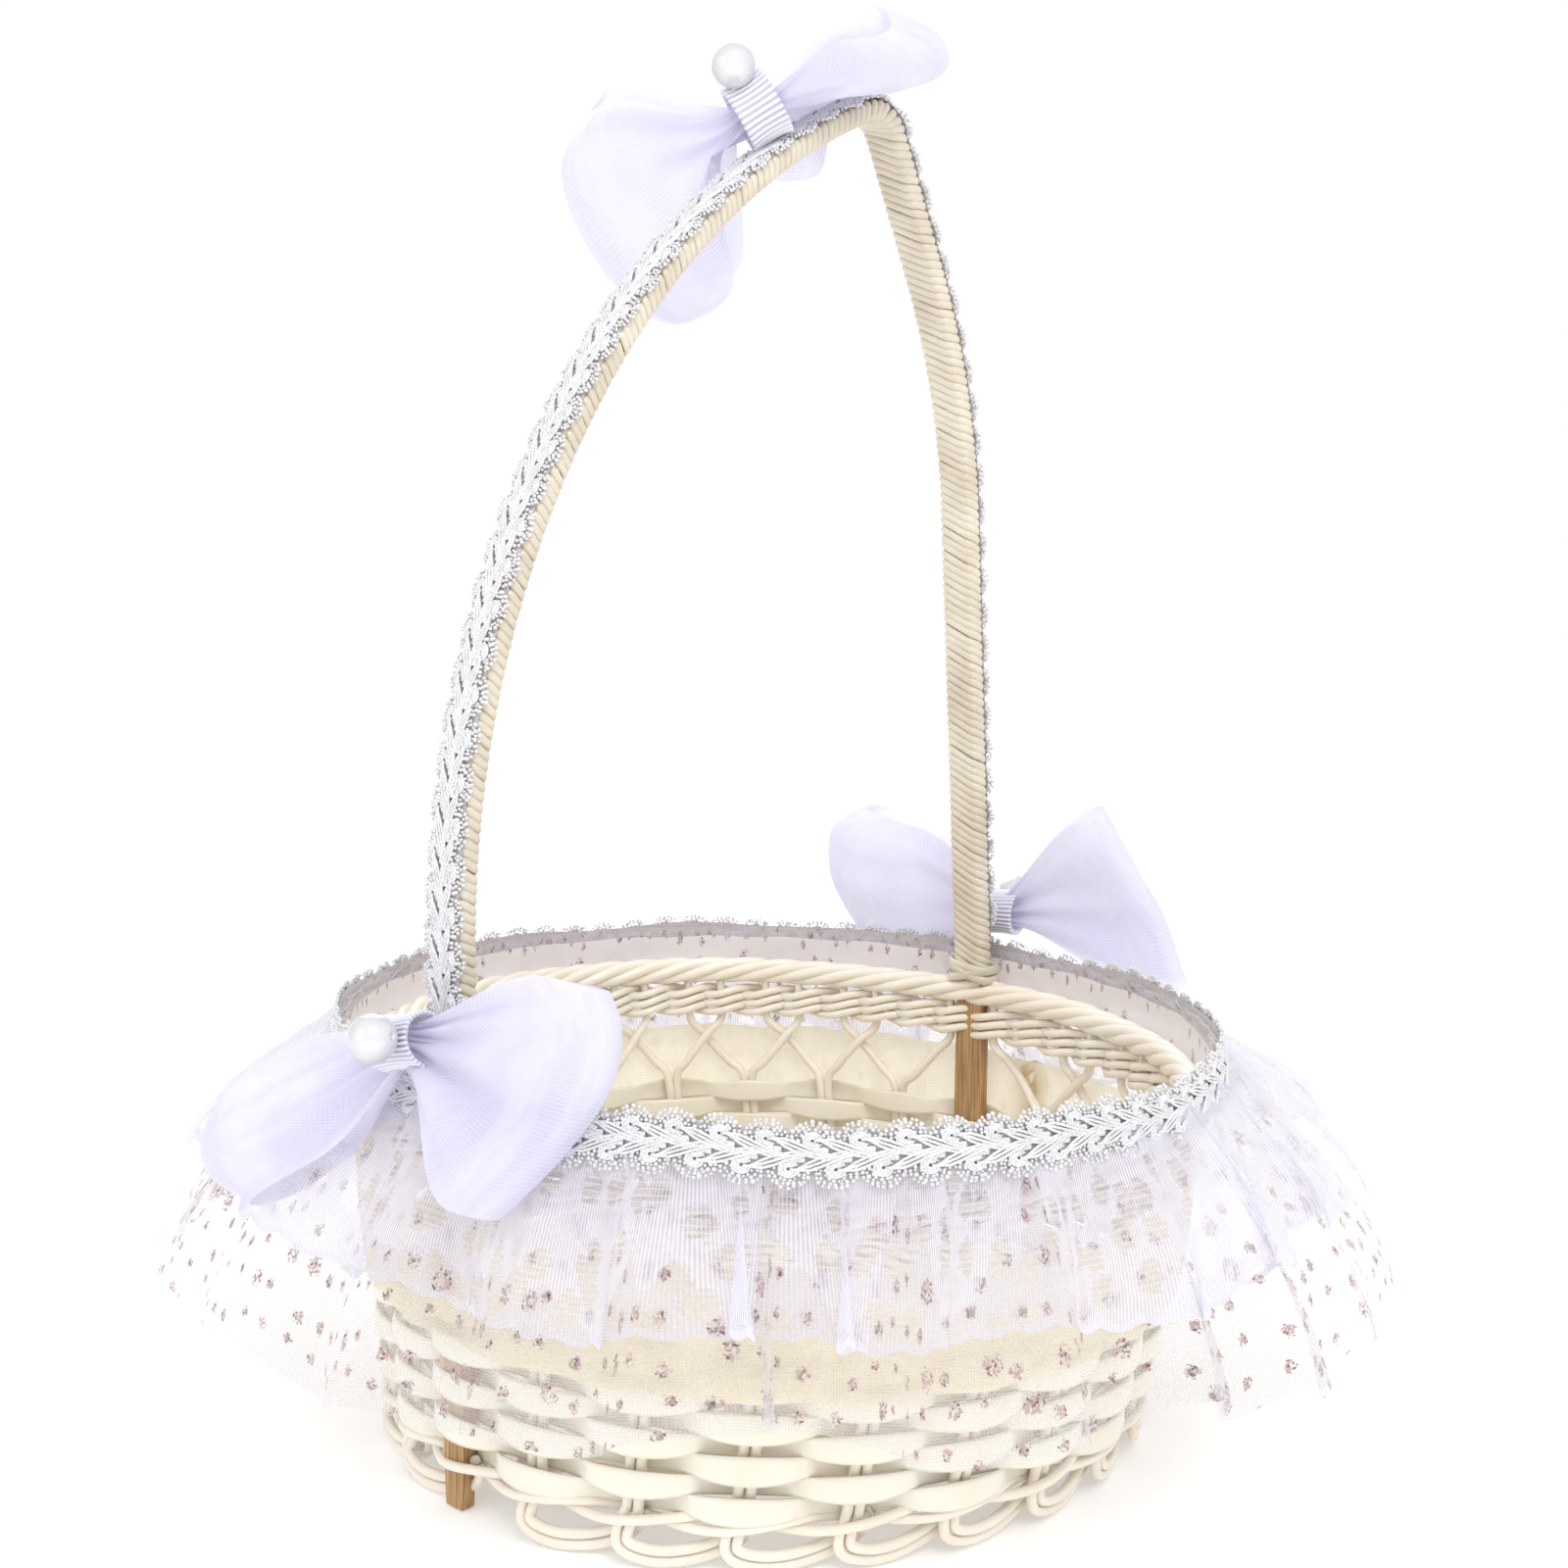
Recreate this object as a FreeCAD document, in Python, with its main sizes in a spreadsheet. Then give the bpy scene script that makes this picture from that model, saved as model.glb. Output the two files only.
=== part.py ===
import FreeCAD, Part
import math
import os

# Flower girl basket: an oval wicker basket with a bowed, cane-wrapped slat handle,
# braid trim, two ruffles, a satin sash and three pearl bows.
# Millimetres, +Z up. The origin is the middle of the oval on the table plane.

Vector = FreeCAD.Vector
Rotation = FreeCAD.Rotation
Placement = FreeCAD.Placement

doc = FreeCAD.newDocument("FlowerGirlBasket")

# ---------------------------------------------------------------- driving dimensions
DIMENSIONS = [
    # oval wall: half axes of the stake line at the foot and at the rim
    ("foot_half_x", 106.0),
    ("foot_half_y", 102.0),
    ("rim_half_x", 106.0),
    ("rim_half_y", 120.0),
    ("wall_height", 103.0),
    ("upright_count", 26.0),
    # cane and strip sizes
    ("cane_dia", 2.8),
    ("weaver_dia", 2.6),
    ("strip_width", 4.9),
    ("strip_thick", 0.8),
    ("strip_pitch", 5.3),
    ("strip_rows", 9.0),
    ("strip_base", 13.5),
    ("weave_swing", 3.1),
    ("rope_dia", 8.4),
    # handle slat
    ("handle_offset", 8.0),
    ("slat_width", 10.0),
    ("slat_thick", 4.0),
    ("wrap_thick", 1.2),
    ("left_bow_radius", 238.0),
    ("left_bow_angle", 68.0),
    ("top_bend_radius", 10.0),
    ("right_slope", 63.0),
    ("right_bow_radius", 190.0),
    ("right_lean", 4.5),
    ("spring_line", 144.0),
    # trim
    ("braid_width", 15.0),
    ("braid_thick", 2.0),
    ("cloth_thick", 0.8),
    ("sash_low", 40.0),
    ("sash_high", 79.0),
    ("sash_gap", 4.1),
    ("lace_drop", 46.0),
    ("organza_drop", 68.0),
    # bows
    ("pearl_dia", 12.0),
    ("bow_reach", 66.0),
    ("bow_half_width", 28.0),
    ("bow_half_depth", 9.0),
    ("bow_waist", 5.4),
    ("knot_radius", 8.0),
    ("knot_width", 12.0),
]

sheet = doc.addObject("Spreadsheet::Sheet", "Dimensions")
for row, (alias, value) in enumerate(DIMENSIONS, start=1):
    sheet.set("A%d" % row, alias)
    sheet.set("B%d" % row, str(value))
    sheet.setAlias("B%d" % row, alias)
doc.recompute()


def dim(alias):
    """The value of one driving dimension, read from the sheet."""
    return float(sheet.get(alias))


def bind(obj, prop, expression):
    """Ties a property to the sheet; names in the expression are sheet aliases."""
    text = expression
    for alias in sorted((name for name, _ in DIMENSIONS), key=len, reverse=True):
        text = text.replace(alias, "Dimensions.%s" % alias)
    obj.setExpression(prop, text)


# ---------------------------------------------------------------- the oval wall
FOOT_X, FOOT_Y = dim("foot_half_x"), dim("foot_half_y")
RIM_X, RIM_Y = dim("rim_half_x"), dim("rim_half_y")
WALL = dim("wall_height")
SLAT_ANGLE = math.asin(dim("handle_offset") / RIM_Y)
UPRIGHTS = int(dim("upright_count"))
HALF_COUNT = UPRIGHTS // 2
BELLY = 1.6     # how early the wall swells above the foot


def half_axes(height):
    """Half axes of the stake line at a height above the table."""
    rise = min(max(height / WALL, 0.0), 1.0)
    swell = 1.0 - (1.0 - rise) ** BELLY
    return FOOT_X + (RIM_X - FOOT_X) * swell, FOOT_Y + (RIM_Y - FOOT_Y) * swell


def wall_point(angle, height, out=0.0, along=0.0):
    """A point on the wall: out is the distance outside the stake line, along the shift round it."""
    half_x, half_y = half_axes(height)
    tangent = Vector(-half_x * math.sin(angle), half_y * math.cos(angle), 0)
    angle = angle + along / tangent.Length
    centre = Vector(half_x * math.cos(angle), half_y * math.sin(angle), height)
    outward = Vector(half_y * math.cos(angle), half_x * math.sin(angle), 0)
    outward.normalize()
    return centre + outward * out


def upright_angle(index):
    """Angle of upright number index; 0 and HALF_COUNT are the two legs of the handle."""
    index = index % UPRIGHTS
    far_arc = math.pi - 2 * SLAT_ANGLE
    near_arc = math.pi + 2 * SLAT_ANGLE
    if index <= HALF_COUNT:
        return SLAT_ANGLE + far_arc * index / HALF_COUNT
    return SLAT_ANGLE + far_arc + near_arc * (index - HALF_COUNT) / HALF_COUNT


def pair_indices():
    """Numbers of the uprights that are pairs of canes, leaving out the handle legs."""
    return [i for i in range(UPRIGHTS) if i not in (0, HALF_COUNT)]


# ---------------------------------------------------------------- shape helpers
def feature(name, shape):
    """A document object that holds a shape made with Part's own functions."""
    obj = doc.addObject("Part::Feature", name)
    obj.Label = name
    obj.Shape = shape
    obj.Placement = Placement()
    return obj


def cane(points, radius, closed=False, stations=16, hub=Vector()):
    """A round cane along a smooth curve: circles joined by straight-sided lengths.

    The seam of every circle faces away from a vertical line through hub.
    """
    curve = Part.BSplineCurve()
    curve.interpolate(Points=points, PeriodicFlag=closed)
    first, last = curve.FirstParameter, curve.LastParameter
    count = stations if closed else stations + 1
    rings = []
    for number in range(count):
        param = first + (last - first) * number / stations
        spot = curve.value(param)
        ring = Part.Circle(spot, curve.tangent(param)[0], radius)
        ring.XAxis = Vector(spot.x - hub.x, spot.y - hub.y, 0)
        rings.append(Part.Wire(ring.toShape()))
    return Part.makeLoft(rings, True, True, closed)


def closed_wire(points):
    """A closed smooth wire through the points."""
    curve = Part.BSplineCurve()
    curve.interpolate(Points=points, PeriodicFlag=True)
    return Part.Wire(curve.toShape())


def oval_cane(height, out, radius):
    """A round cane bent into an oval round the basket."""
    points = [wall_point(math.tau * step / 16, height, out) for step in range(16)]
    return cane(points, radius, closed=True, stations=44)


def group(name, members):
    """Separate solids kept together as one node."""
    obj = doc.addObject("Part::Compound", name)
    obj.Label = name
    obj.Links = members
    return obj


def oval_band(name, low, high, out_low, out_high, thickness):
    """A thin band round the basket, leaning from out_low at its foot to out_high at its top."""

    def filled(extra, stretch):
        rings = []
        for height, out in ((low - stretch, out_low), (high + stretch, out_high)):
            rings.append(closed_wire([
                wall_point(math.tau * step / 72, height, out + extra) for step in range(72)
            ]))
        return Part.makeLoft(rings, True, True)

    return feature(name, filled(dim(thickness), 0.0).cut(filled(0.0, 0.01)))


# ---------------------------------------------------------------- uprights
SPLIT_LOW = dim("strip_base") + dim("strip_pitch") * dim("strip_rows") + 1.5
SPLIT_HIGH = 83.0
STAKE_TOP = WALL - dim("rope_dia") - 0.3
STAKE_FOOT = 12.7
PAIR_GAP = 1.5      # half the distance between the two canes of a pair
SPREAD = 0.70       # share of the spacing that a cane has leaned over at the top


def stake_points(index, side):
    """One cane of a pair: upright in the strip weave, then leaning across its neighbour."""
    angle = upright_angle(index)
    step = upright_angle(index + 1) - angle if side > 0 else angle - upright_angle(index - 1)
    if step < 0:
        step += math.tau
    points = []
    for height in (STAKE_FOOT, 30.0, 46.0, SPLIT_LOW):
        points.append(wall_point(angle, height, 0.0, side * PAIR_GAP))
    lean_start = SPLIT_LOW
    for part in (0.25, 0.5, 0.75, 1.0):
        height = lean_start + (SPLIT_HIGH - lean_start) * part
        turn = angle + side * step * SPREAD * part
        bulge = side * 1.6 * math.sin(math.pi * part)
        points.append(wall_point(turn, height, bulge, side * PAIR_GAP * (1 - part)))
    points.append(wall_point(angle + side * step * SPREAD, STAKE_TOP, 0.0))
    return points


def make_stakes():
    solids = []
    for index in pair_indices():
        for side in (-1, 1):
            solids.append(cane(stake_points(index, side), dim("cane_dia") / 2, stations=12))
    return feature("stake_pairs", Part.makeCompound(solids))


# ---------------------------------------------------------------- wall weave
def weave_phase(angle):
    """Counts uprights round the wall, so that whole numbers fall on them."""
    for index in range(UPRIGHTS):
        first = upright_angle(index)
        last = upright_angle(index + 1)
        if last < first:
            last += math.tau
        for turn in (angle, angle + math.tau):
            if first <= turn < last:
                return index + (turn - first) / (last - first)
    return 0.0


def strip(row):
    """One flat strip that passes outside one upright and inside the next."""
    low = dim("strip_base") + row * dim("strip_pitch")
    lift = low + dim("strip_width") / 2
    steps = UPRIGHTS * 6

    def outline(extra):
        points = []
        for step in range(steps):
            angle = math.tau * step / steps
            swing = dim("weave_swing") * math.cos(math.pi * (weave_phase(angle) + row))
            point = wall_point(angle, lift, swing + extra)
            points.append(Vector(point.x, point.y, low))
        return closed_wire(points)

    half = dim("strip_thick") / 2
    face = Part.Face([outline(half), outline(-half)])
    face.validate()
    return face.extrude(Vector(0, 0, dim("strip_width")))


def make_strips():
    rows = [strip(row) for row in range(int(dim("strip_rows")))]
    return feature("flat_strips", Part.makeCompound(rows))


TWINE_OUT = 3.05                    # middle of a twined cane from the stake line
UPPER_ROWS = (85.8, 89.0, 92.2)     # heights of the twined rows under the rim
FOOT_ROWS = (11.0,)


def twined_rows(name, heights):
    """Round canes in rows of two, one outside the uprights and one inside."""
    radius = dim("weaver_dia") / 2
    solids = []
    for height in heights:
        for side in (1, -1):
            solids.append(oval_cane(height, side * TWINE_OUT, radius))
    return feature(name, Part.makeCompound(solids))


# ---------------------------------------------------------------- foot border
LOOP_PATH = [
    # along the wall, height, out: one loop from its upright to behind the next one
    (0.0, 12.2, 0.0),
    (-1.4, 8.8, 1.6),
    (-0.6, 5.4, 2.9),
    (5.0, 3.2, 2.6),
    (12.0, 2.9, 1.4),
    (20.0, 4.0, -0.9),
    (26.5, 7.2, -1.9),
    (31.0, 12.0, -0.5),
]


def loop_cane(index, side):
    """One of the two canes of a foot loop, set off square to the loop's line."""
    angle = upright_angle(index)
    radius = dim("cane_dia") / 2
    points = []
    for number, (along, height, out) in enumerate(LOOP_PATH):
        before = LOOP_PATH[max(number - 1, 0)]
        after = LOOP_PATH[min(number + 1, len(LOOP_PATH) - 1)]
        run, rise = after[0] - before[0], after[1] - before[1]
        length = math.hypot(run, rise)
        shift = side * (radius + 0.05)
        points.append(wall_point(
            angle, height + shift * run / length, out, along - shift * rise / length))
    return cane(points, radius)


def make_foot_border():
    solids = [loop_cane(index, side) for index in pair_indices() for side in (-1, 1)]
    return feature("foot_loop_border", Part.makeCompound(solids))


# ---------------------------------------------------------------- woven base
BASE_LEVEL = 14.5


def make_base_sticks():
    """Two crossed layers of straight canes under the woven base."""
    members = []
    for layer, across in enumerate((True, False)):
        for number in range(-2, 3):
            rod = doc.addObject("Part::Cylinder", "base_stick_%d_%d" % (layer, number + 2))
            bind(rod, "Radius", "cane_dia / 2")
            offset = number * 9.0
            reach = (FOOT_X if across else FOOT_Y) - 5.5
            rod.Height = 2 * reach
            height = BASE_LEVEL + layer * (dim("cane_dia") + 0.1)
            if across:
                turn = Rotation(Vector(0, 1, 0), 90)
                rod.Placement = Placement(Vector(-reach, offset, height), turn)
            else:
                turn = Rotation(Vector(1, 0, 0), -90)
                rod.Placement = Placement(Vector(offset, -reach, height), turn)
            members.append(rod)
    return group("base_sticks", members)


def make_base_weave():
    """Oval rounds of cane lying on the base sticks, out to the wall."""
    level = BASE_LEVEL + 2 * dim("cane_dia") + 0.1
    rounds = 22
    pitch = 4.0
    radius = dim("weaver_dia") / 2
    solids = [oval_cane(level, -6.6 - number * pitch, radius) for number in range(rounds)]
    return feature("base_weave", Part.makeCompound(solids))


# ---------------------------------------------------------------- handle
HANDLE_Y = dim("handle_offset")


def arch_path():
    """The bowed line of the slat in its own plane, as straight and arc pieces.

    Returns a list of ("line", start, end) and ("arc", centre, radius, from, to) with
    angles in degrees, from the foot of the -X leg over the top to the foot of the +X leg.
    """
    left = -RIM_X
    spring = dim("spring_line")
    big = dim("left_bow_radius")
    turned = dim("left_bow_angle")
    pieces = [("line", (left, 0.0), (left, spring))]
    centre = (left + big, spring)
    pieces.append(("arc", centre, big, 180.0, 180.0 - turned))
    end_angle = math.radians(180.0 - turned)
    tip = (centre[0] + big * math.cos(end_angle), centre[1] + big * math.sin(end_angle))
    small = dim("top_bend_radius")
    bend = (tip[0] - small * math.cos(end_angle), tip[1] - small * math.sin(end_angle))
    leave = 90.0 - dim("right_slope")
    pieces.append(("arc", bend, small, 180.0 - turned, leave))
    leave_rad = math.radians(leave)
    drop = (bend[0] + small * math.cos(leave_rad), bend[1] + small * math.sin(leave_rad))
    # the far leg: a straight slope, an arc that stands it up and a straight leg to the foot
    wide = dim("right_bow_radius")
    lean_rad = math.radians(dim("right_lean"))
    arc_run = wide * (math.cos(lean_rad) - math.cos(leave_rad))
    arc_fall = wide * (math.sin(leave_rad) - math.sin(lean_rad))
    slope = (math.sin(leave_rad), -math.cos(leave_rad))
    leg = (math.sin(lean_rad), -math.cos(lean_rad))
    join_height = WALL
    span = RIM_X - drop[0] - arc_run
    fall = drop[1] - join_height - arc_fall
    # lengths of the slope and the leaning leg that meet the wall top at the stake line
    along_slope = (span * -leg[1] - fall * leg[0]) / (slope[0] * -leg[1] + slope[1] * leg[0])
    start = (drop[0] + slope[0] * along_slope, drop[1] + slope[1] * along_slope)
    pieces.append(("line", drop, start))
    hub = (start[0] - wide * math.cos(leave_rad), start[1] - wide * math.sin(leave_rad))
    pieces.append(("arc", hub, wide, leave, dim("right_lean")))
    foot_of_arc = (hub[0] + wide * math.cos(lean_rad), hub[1] + wide * math.sin(lean_rad))
    pieces.append(("line", foot_of_arc, (RIM_X, join_height)))
    pieces.append(("line", (RIM_X, join_height), (RIM_X, 0.0)))
    return pieces


def offset_edges(pieces, shift):
    """The arch line moved outward by shift, as edges in the XZ plane."""
    edges = []
    corners = []
    for piece in pieces:
        if piece[0] == "line":
            (x0, z0), (x1, z1) = piece[1], piece[2]
            length = math.hypot(x1 - x0, z1 - z0)
            normal = (-(z1 - z0) / length, (x1 - x0) / length)
            start = Vector(x0 + normal[0] * shift, 0, z0 + normal[1] * shift)
            end = Vector(x1 + normal[0] * shift, 0, z1 + normal[1] * shift)
            corners.append(("line", start, end, None))
        else:
            _, centre, radius, first, last = piece
            spots = []
            for part in (0.0, 0.5, 1.0):
                turn = math.radians(first + (last - first) * part)
                reach = radius + shift
                spots.append(Vector(
                    centre[0] + reach * math.cos(turn), 0, centre[1] + reach * math.sin(turn)))
            corners.append(("arc", spots[0], spots[2], spots[1]))
    # where two straight pieces meet at a slight angle, the joint is moved to one shared point
    for number in range(len(corners) - 1):
        first, second = corners[number], corners[number + 1]
        if (first[2] - second[1]).Length > 1e-6:
            shared = (first[2] + second[1]) * 0.5
            corners[number] = (first[0], first[1], shared, first[3])
            corners[number + 1] = (second[0], shared, second[2], second[3])
    for kind, start, end, middle in corners:
        if kind == "line":
            edges.append(Part.LineSegment(start, end))
        else:
            edges.append(Part.Arc(start, middle, end))
    return edges


def arch_band(inner, outer, low):
    """The closed outline between two offsets of the arch, from height low upward."""
    pieces = arch_path()
    first = ("line", (pieces[0][1][0], low), pieces[0][2])
    if low > WALL:
        # the last straight piece inside the wall is left out and the leaning leg is cut short
        leg_start, leg_end = pieces[-2][1], pieces[-2][2]
        share = (low - leg_end[1]) / (leg_start[1] - leg_end[1])
        cut = (leg_end[0] + (leg_start[0] - leg_end[0]) * share, low)
        pieces = [first] + pieces[1:-2] + [("line", leg_start, cut)]
    else:
        last = ("line", pieces[-1][1], (pieces[-1][2][0], low))
        pieces = [first] + pieces[1:-1] + [last]
    outside = offset_edges(pieces, outer)
    inside = offset_edges(pieces, inner)
    return outside, inside


def arch_sketch_body(name, inner, outer, low, width_expression):
    """A band along the arch as a padded sketch, centred on the handle's plane."""
    body = doc.addObject("PartDesign::Body", name)
    body.Label = name
    plane = next(f for f in body.Origin.OriginFeatures if f.Role == "XZ_Plane")
    sketch = body.newObject("Sketcher::SketchObject", name + "_outline")
    sketch.AttachmentSupport = [(plane, "")]
    sketch.MapMode = "FlatFace"
    outside, inside = arch_band(inner, outer, low)
    flat = Placement(Vector(), Rotation(Vector(1, 0, 0), -90))

    def add(edge):
        copy = edge.copy()
        copy.transform(flat.toMatrix())
        sketch.addGeometry(copy, False)

    for edge in outside + inside:
        add(edge)
    for number in (0, -1):
        ends = []
        for chain in (outside, inside):
            edge = chain[number]
            spot = edge.StartPoint if number == 0 else edge.EndPoint
            ends.append(spot)
        add(Part.LineSegment(ends[0], ends[1]))
    pad = body.newObject("PartDesign::Pad", name + "_pad")
    pad.Profile = sketch
    bind(pad, "Length", width_expression)
    pad.SideType = "Symmetric"
    body.Placement = Placement(Vector(0, HANDLE_Y, 0), Rotation())
    return body


WRAP_FOOT = WALL + 3.0
BRAID_FOOT = WALL + 14.0
SHAVED_RISE = 36.0      # how far up from the table the slat's ends are shaved narrower
SHAVED_OFF = 1.9        # what each edge has lost at the table
SHAVING_WIDTH = 6.0


def slat_shaving(side, edge):
    """A block that leans against one edge of one leg of the slat, to be cut away."""
    block = doc.addObject("Part::Box", "slat_shaving")
    bind(block, "Length", "slat_thick + 2")
    block.Width = SHAVING_WIDTH
    block.Height = SHAVED_RISE + 2.0
    lean = -edge * math.atan2(SHAVED_OFF, SHAVED_RISE)
    foot = Vector(
        side * RIM_X - dim("slat_thick") / 2 - 1,
        HANDLE_Y + edge * (dim("slat_width") / 2 - SHAVED_OFF),
        0.0)
    if edge < 0:
        foot -= Vector(0, math.cos(lean), math.sin(lean)) * SHAVING_WIDTH
    block.Placement = Placement(foot, Rotation(Vector(1, 0, 0), math.degrees(lean)))
    return block


def make_handle_core():
    """The bowed slat, its two ends shaved narrower towards the table."""
    half = dim("slat_thick") / 2
    slat = arch_sketch_body("bowed_slat", -half, half, 0.0, "slat_width")
    shavings = doc.addObject("Part::MultiFuse", "slat_shavings")
    shavings.Shapes = [slat_shaving(side, edge) for side in (-1, 1) for edge in (-1, 1)]
    shaved = doc.addObject("Part::Cut", "handle_slat")
    shaved.Label = "handle_slat"
    shaved.Base = slat
    shaved.Tool = shavings
    return shaved


def make_handle_wrap():
    """The cane wound round the slat, as a close sleeve that is open at its two ends."""
    half = dim("slat_thick") / 2 + 0.1
    outer = half + dim("wrap_thick")
    skin = arch_sketch_body("wrap_outside", -outer, outer, WRAP_FOOT,
                            "slat_width + 2 * wrap_thick + 0.2")
    void = arch_sketch_body("wrap_inside", -half, half, WRAP_FOOT, "slat_width + 0.2")
    sleeve = doc.addObject("Part::Cut", "handle_cane_wrap")
    sleeve.Label = "handle_cane_wrap"
    sleeve.Base = skin
    sleeve.Tool = void
    return sleeve


def make_handle_braid():
    face = dim("slat_thick") / 2 + 0.1 + dim("wrap_thick") + 0.15
    return arch_sketch_body("handle_braid", face, face + dim("braid_thick"), BRAID_FOOT,
                            "braid_width - 1")


def make_lashings():
    """A cane tie round each leg of the handle, just above the rope rim."""
    radius = 1.1
    reach_x = dim("slat_thick") / 2 + dim("wrap_thick") + radius + 0.5
    reach_y = dim("slat_width") / 2 + radius + 1.8
    solids = []
    for side in (-1, 1):
        points = []
        for step in range(16):
            turn = math.tau * step / 16
            square = 1.0 / max(abs(math.cos(turn)), abs(math.sin(turn))) ** 0.55
            x = side * RIM_X + reach_x * square * math.cos(turn) * 0.93
            y = HANDLE_Y + reach_y * square * math.sin(turn) * 0.86
            points.append(Vector(x, y, WALL + 1.45))
        hub = Vector(side * RIM_X, HANDLE_Y, 0)
        solids.append(cane(points, radius, closed=True, stations=24, hub=hub))
    return feature("leg_lashings", Part.makeCompound(solids))


# ---------------------------------------------------------------- rim
def make_rope():
    """The plaited rope rim, with a slot where each leg of the handle passes down."""
    radius = dim("rope_dia") / 2
    rope = feature("rope_ring", oval_cane(WALL - radius, 0.0, radius))
    slots = []
    for side, word in ((-1, "left"), (1, "right")):
        slot = doc.addObject("Part::Box", "rope_slot_" + word)
        bind(slot, "Length", "slat_thick + 0.4")
        bind(slot, "Width", "slat_width + 0.4")
        slot.Height = 20.0
        corner = Vector(
            side * RIM_X - dim("slat_thick") / 2 - 0.2,
            HANDLE_Y - dim("slat_width") / 2 - 0.2,
            WALL - 15.0)
        slot.Placement = Placement(corner, Rotation())
        slots.append(slot)
    both = doc.addObject("Part::Fuse", "rope_slots")
    both.Base, both.Tool = slots
    cut = doc.addObject("Part::Cut", "rim_rope")
    cut.Label = "rim_rope"
    cut.Base = rope
    cut.Tool = both
    return cut


# ---------------------------------------------------------------- ruffles
FLARE_ANGLE = math.radians(133)     # where the ruffles stand out most, and opposite


FLUTES = 26     # folds round each hem


def gathered_skirt(name, top, drop, head, straight, flare, depth):
    """A gathered cloth skirt: a ruled shell from a smooth heading to a fluted hem.

    The hem stands straight out from the wall in front and behind, and flares at its two ends;
    head is how far out the heading is, and depth how deep the folds are.
    """
    steps = FLUTES * 6

    def filled(extra, stretch):
        heading = []
        hem = []
        for step in range(steps):
            angle = math.tau * step / steps
            wide = 0.5 + 0.5 * math.cos(2 * (angle - FLARE_ANGLE))
            out = straight + (flare - straight) * wide + depth * math.cos(FLUTES * angle)
            heading.append(wall_point(angle, top, head + extra))
            low = wall_point(angle, top, out + extra)
            low.z = top - drop
            slant = low - heading[-1]
            heading[-1] = heading[-1] - slant * stretch
            hem.append(low + slant * stretch)
        return Part.makeLoft([closed_wire(heading), closed_wire(hem)], True, True)

    skirt = filled(dim("cloth_thick"), 0.0).cut(filled(0.0, 0.01))
    return feature(name, skirt)


# ---------------------------------------------------------------- sash knot
KNOT_RING, KNOT_RIBBON = 5.0, 1.6           # radius of the loop and of its rolled ribbon
KNOT_TURN = math.radians(9.5)               # how far round the wall from the +X leg
KNOT_HEIGHT, KNOT_OUT, KNOT_LEAN = 72.0, 7.4, 84.0


def make_sash_knot():
    """The small loop of ribbon tied where the sash ends meet, beside the +X leg."""
    ring = doc.addObject("Part::Torus", "sash_knot")
    ring.Label = "sash_knot"
    ring.Radius1 = KNOT_RING
    ring.Radius2 = KNOT_RIBBON
    spot = wall_point(SLAT_ANGLE - KNOT_TURN, KNOT_HEIGHT, KNOT_OUT)
    ring.Placement = Placement(spot, Rotation(Vector(0, 1, 0), KNOT_LEAN))
    return ring


# ---------------------------------------------------------------- bows
def make_bow(name, place):
    """A ribbon bow in its own axes: wings along X, the pearl towards +Z."""
    sections = []
    stations = [(-1.0, 0.80), (-0.72, 1.0), (-0.34, 0.62), (-0.10, 0.0)]
    stations += [(0.0, 0.0)] + [(-x, w) for x, w in reversed(stations)]
    waist = dim("bow_waist")
    for number, (share, width) in enumerate(stations):
        oval = doc.addObject("Part::Ellipse", "%s_section_%d" % (name, number))
        major = waist + (dim("bow_half_width") - waist) * width
        minor = min(waist - 0.1 + (dim("bow_half_depth") - waist) * width, major - 0.05)
        oval.MajorRadius = major
        oval.MinorRadius = minor
        turn = Rotation(Vector(0, 1, 0), 90).multiply(Rotation(Vector(0, 0, 1), 90))
        oval.Placement = Placement(Vector(share * dim("bow_reach"), 0, 0), turn)
        sections.append(oval)
    ribbon = doc.addObject("Part::Loft", name + "_ribbon")
    ribbon.Label = name + "_ribbon"
    ribbon.Sections = sections
    ribbon.Solid = True
    ribbon.Ruled = True

    band = doc.addObject("Part::Cylinder", name + "_band")
    bind(band, "Radius", "knot_radius")
    bind(band, "Height", "knot_width")
    hole = doc.addObject("Part::Cylinder", name + "_hole")
    bind(hole, "Radius", "bow_waist + 0.9")
    bind(hole, "Height", "knot_width + 2")
    lying = Rotation(Vector(0, 1, 0), 90)
    band.Placement = Placement(Vector(-dim("knot_width") / 2, 0, 0), lying)
    hole.Placement = Placement(Vector(-dim("knot_width") / 2 - 1, 0, 0), lying)
    knot = doc.addObject("Part::Cut", name + "_knot")
    knot.Label = name + "_knot"
    knot.Base = band
    knot.Tool = hole

    pearl = doc.addObject("Part::Sphere", name + "_pearl")
    pearl.Label = name + "_pearl"
    bind(pearl, "Radius", "pearl_dia / 2")
    away = Vector(0, 0, dim("knot_radius") + dim("pearl_dia") / 2 + 0.05)
    pearl.Placement = Placement(place.multVec(away), place.Rotation)
    ribbon.Placement = place
    knot.Placement = place
    return [ribbon, knot, pearl]


def facing(out, wing):
    """The turn that points a bow's pearl along out and its wings along wing."""
    z_axis = Vector(out)
    z_axis.normalize()
    x_axis = Vector(wing)
    x_axis = x_axis - z_axis * x_axis.dot(z_axis)
    x_axis.normalize()
    y_axis = z_axis.cross(x_axis)
    matrix = FreeCAD.Matrix(
        x_axis.x, y_axis.x, z_axis.x, 0,
        x_axis.y, y_axis.y, z_axis.y, 0,
        x_axis.z, y_axis.z, z_axis.z, 0,
        0, 0, 0, 1)
    return Placement(matrix).Rotation


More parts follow.
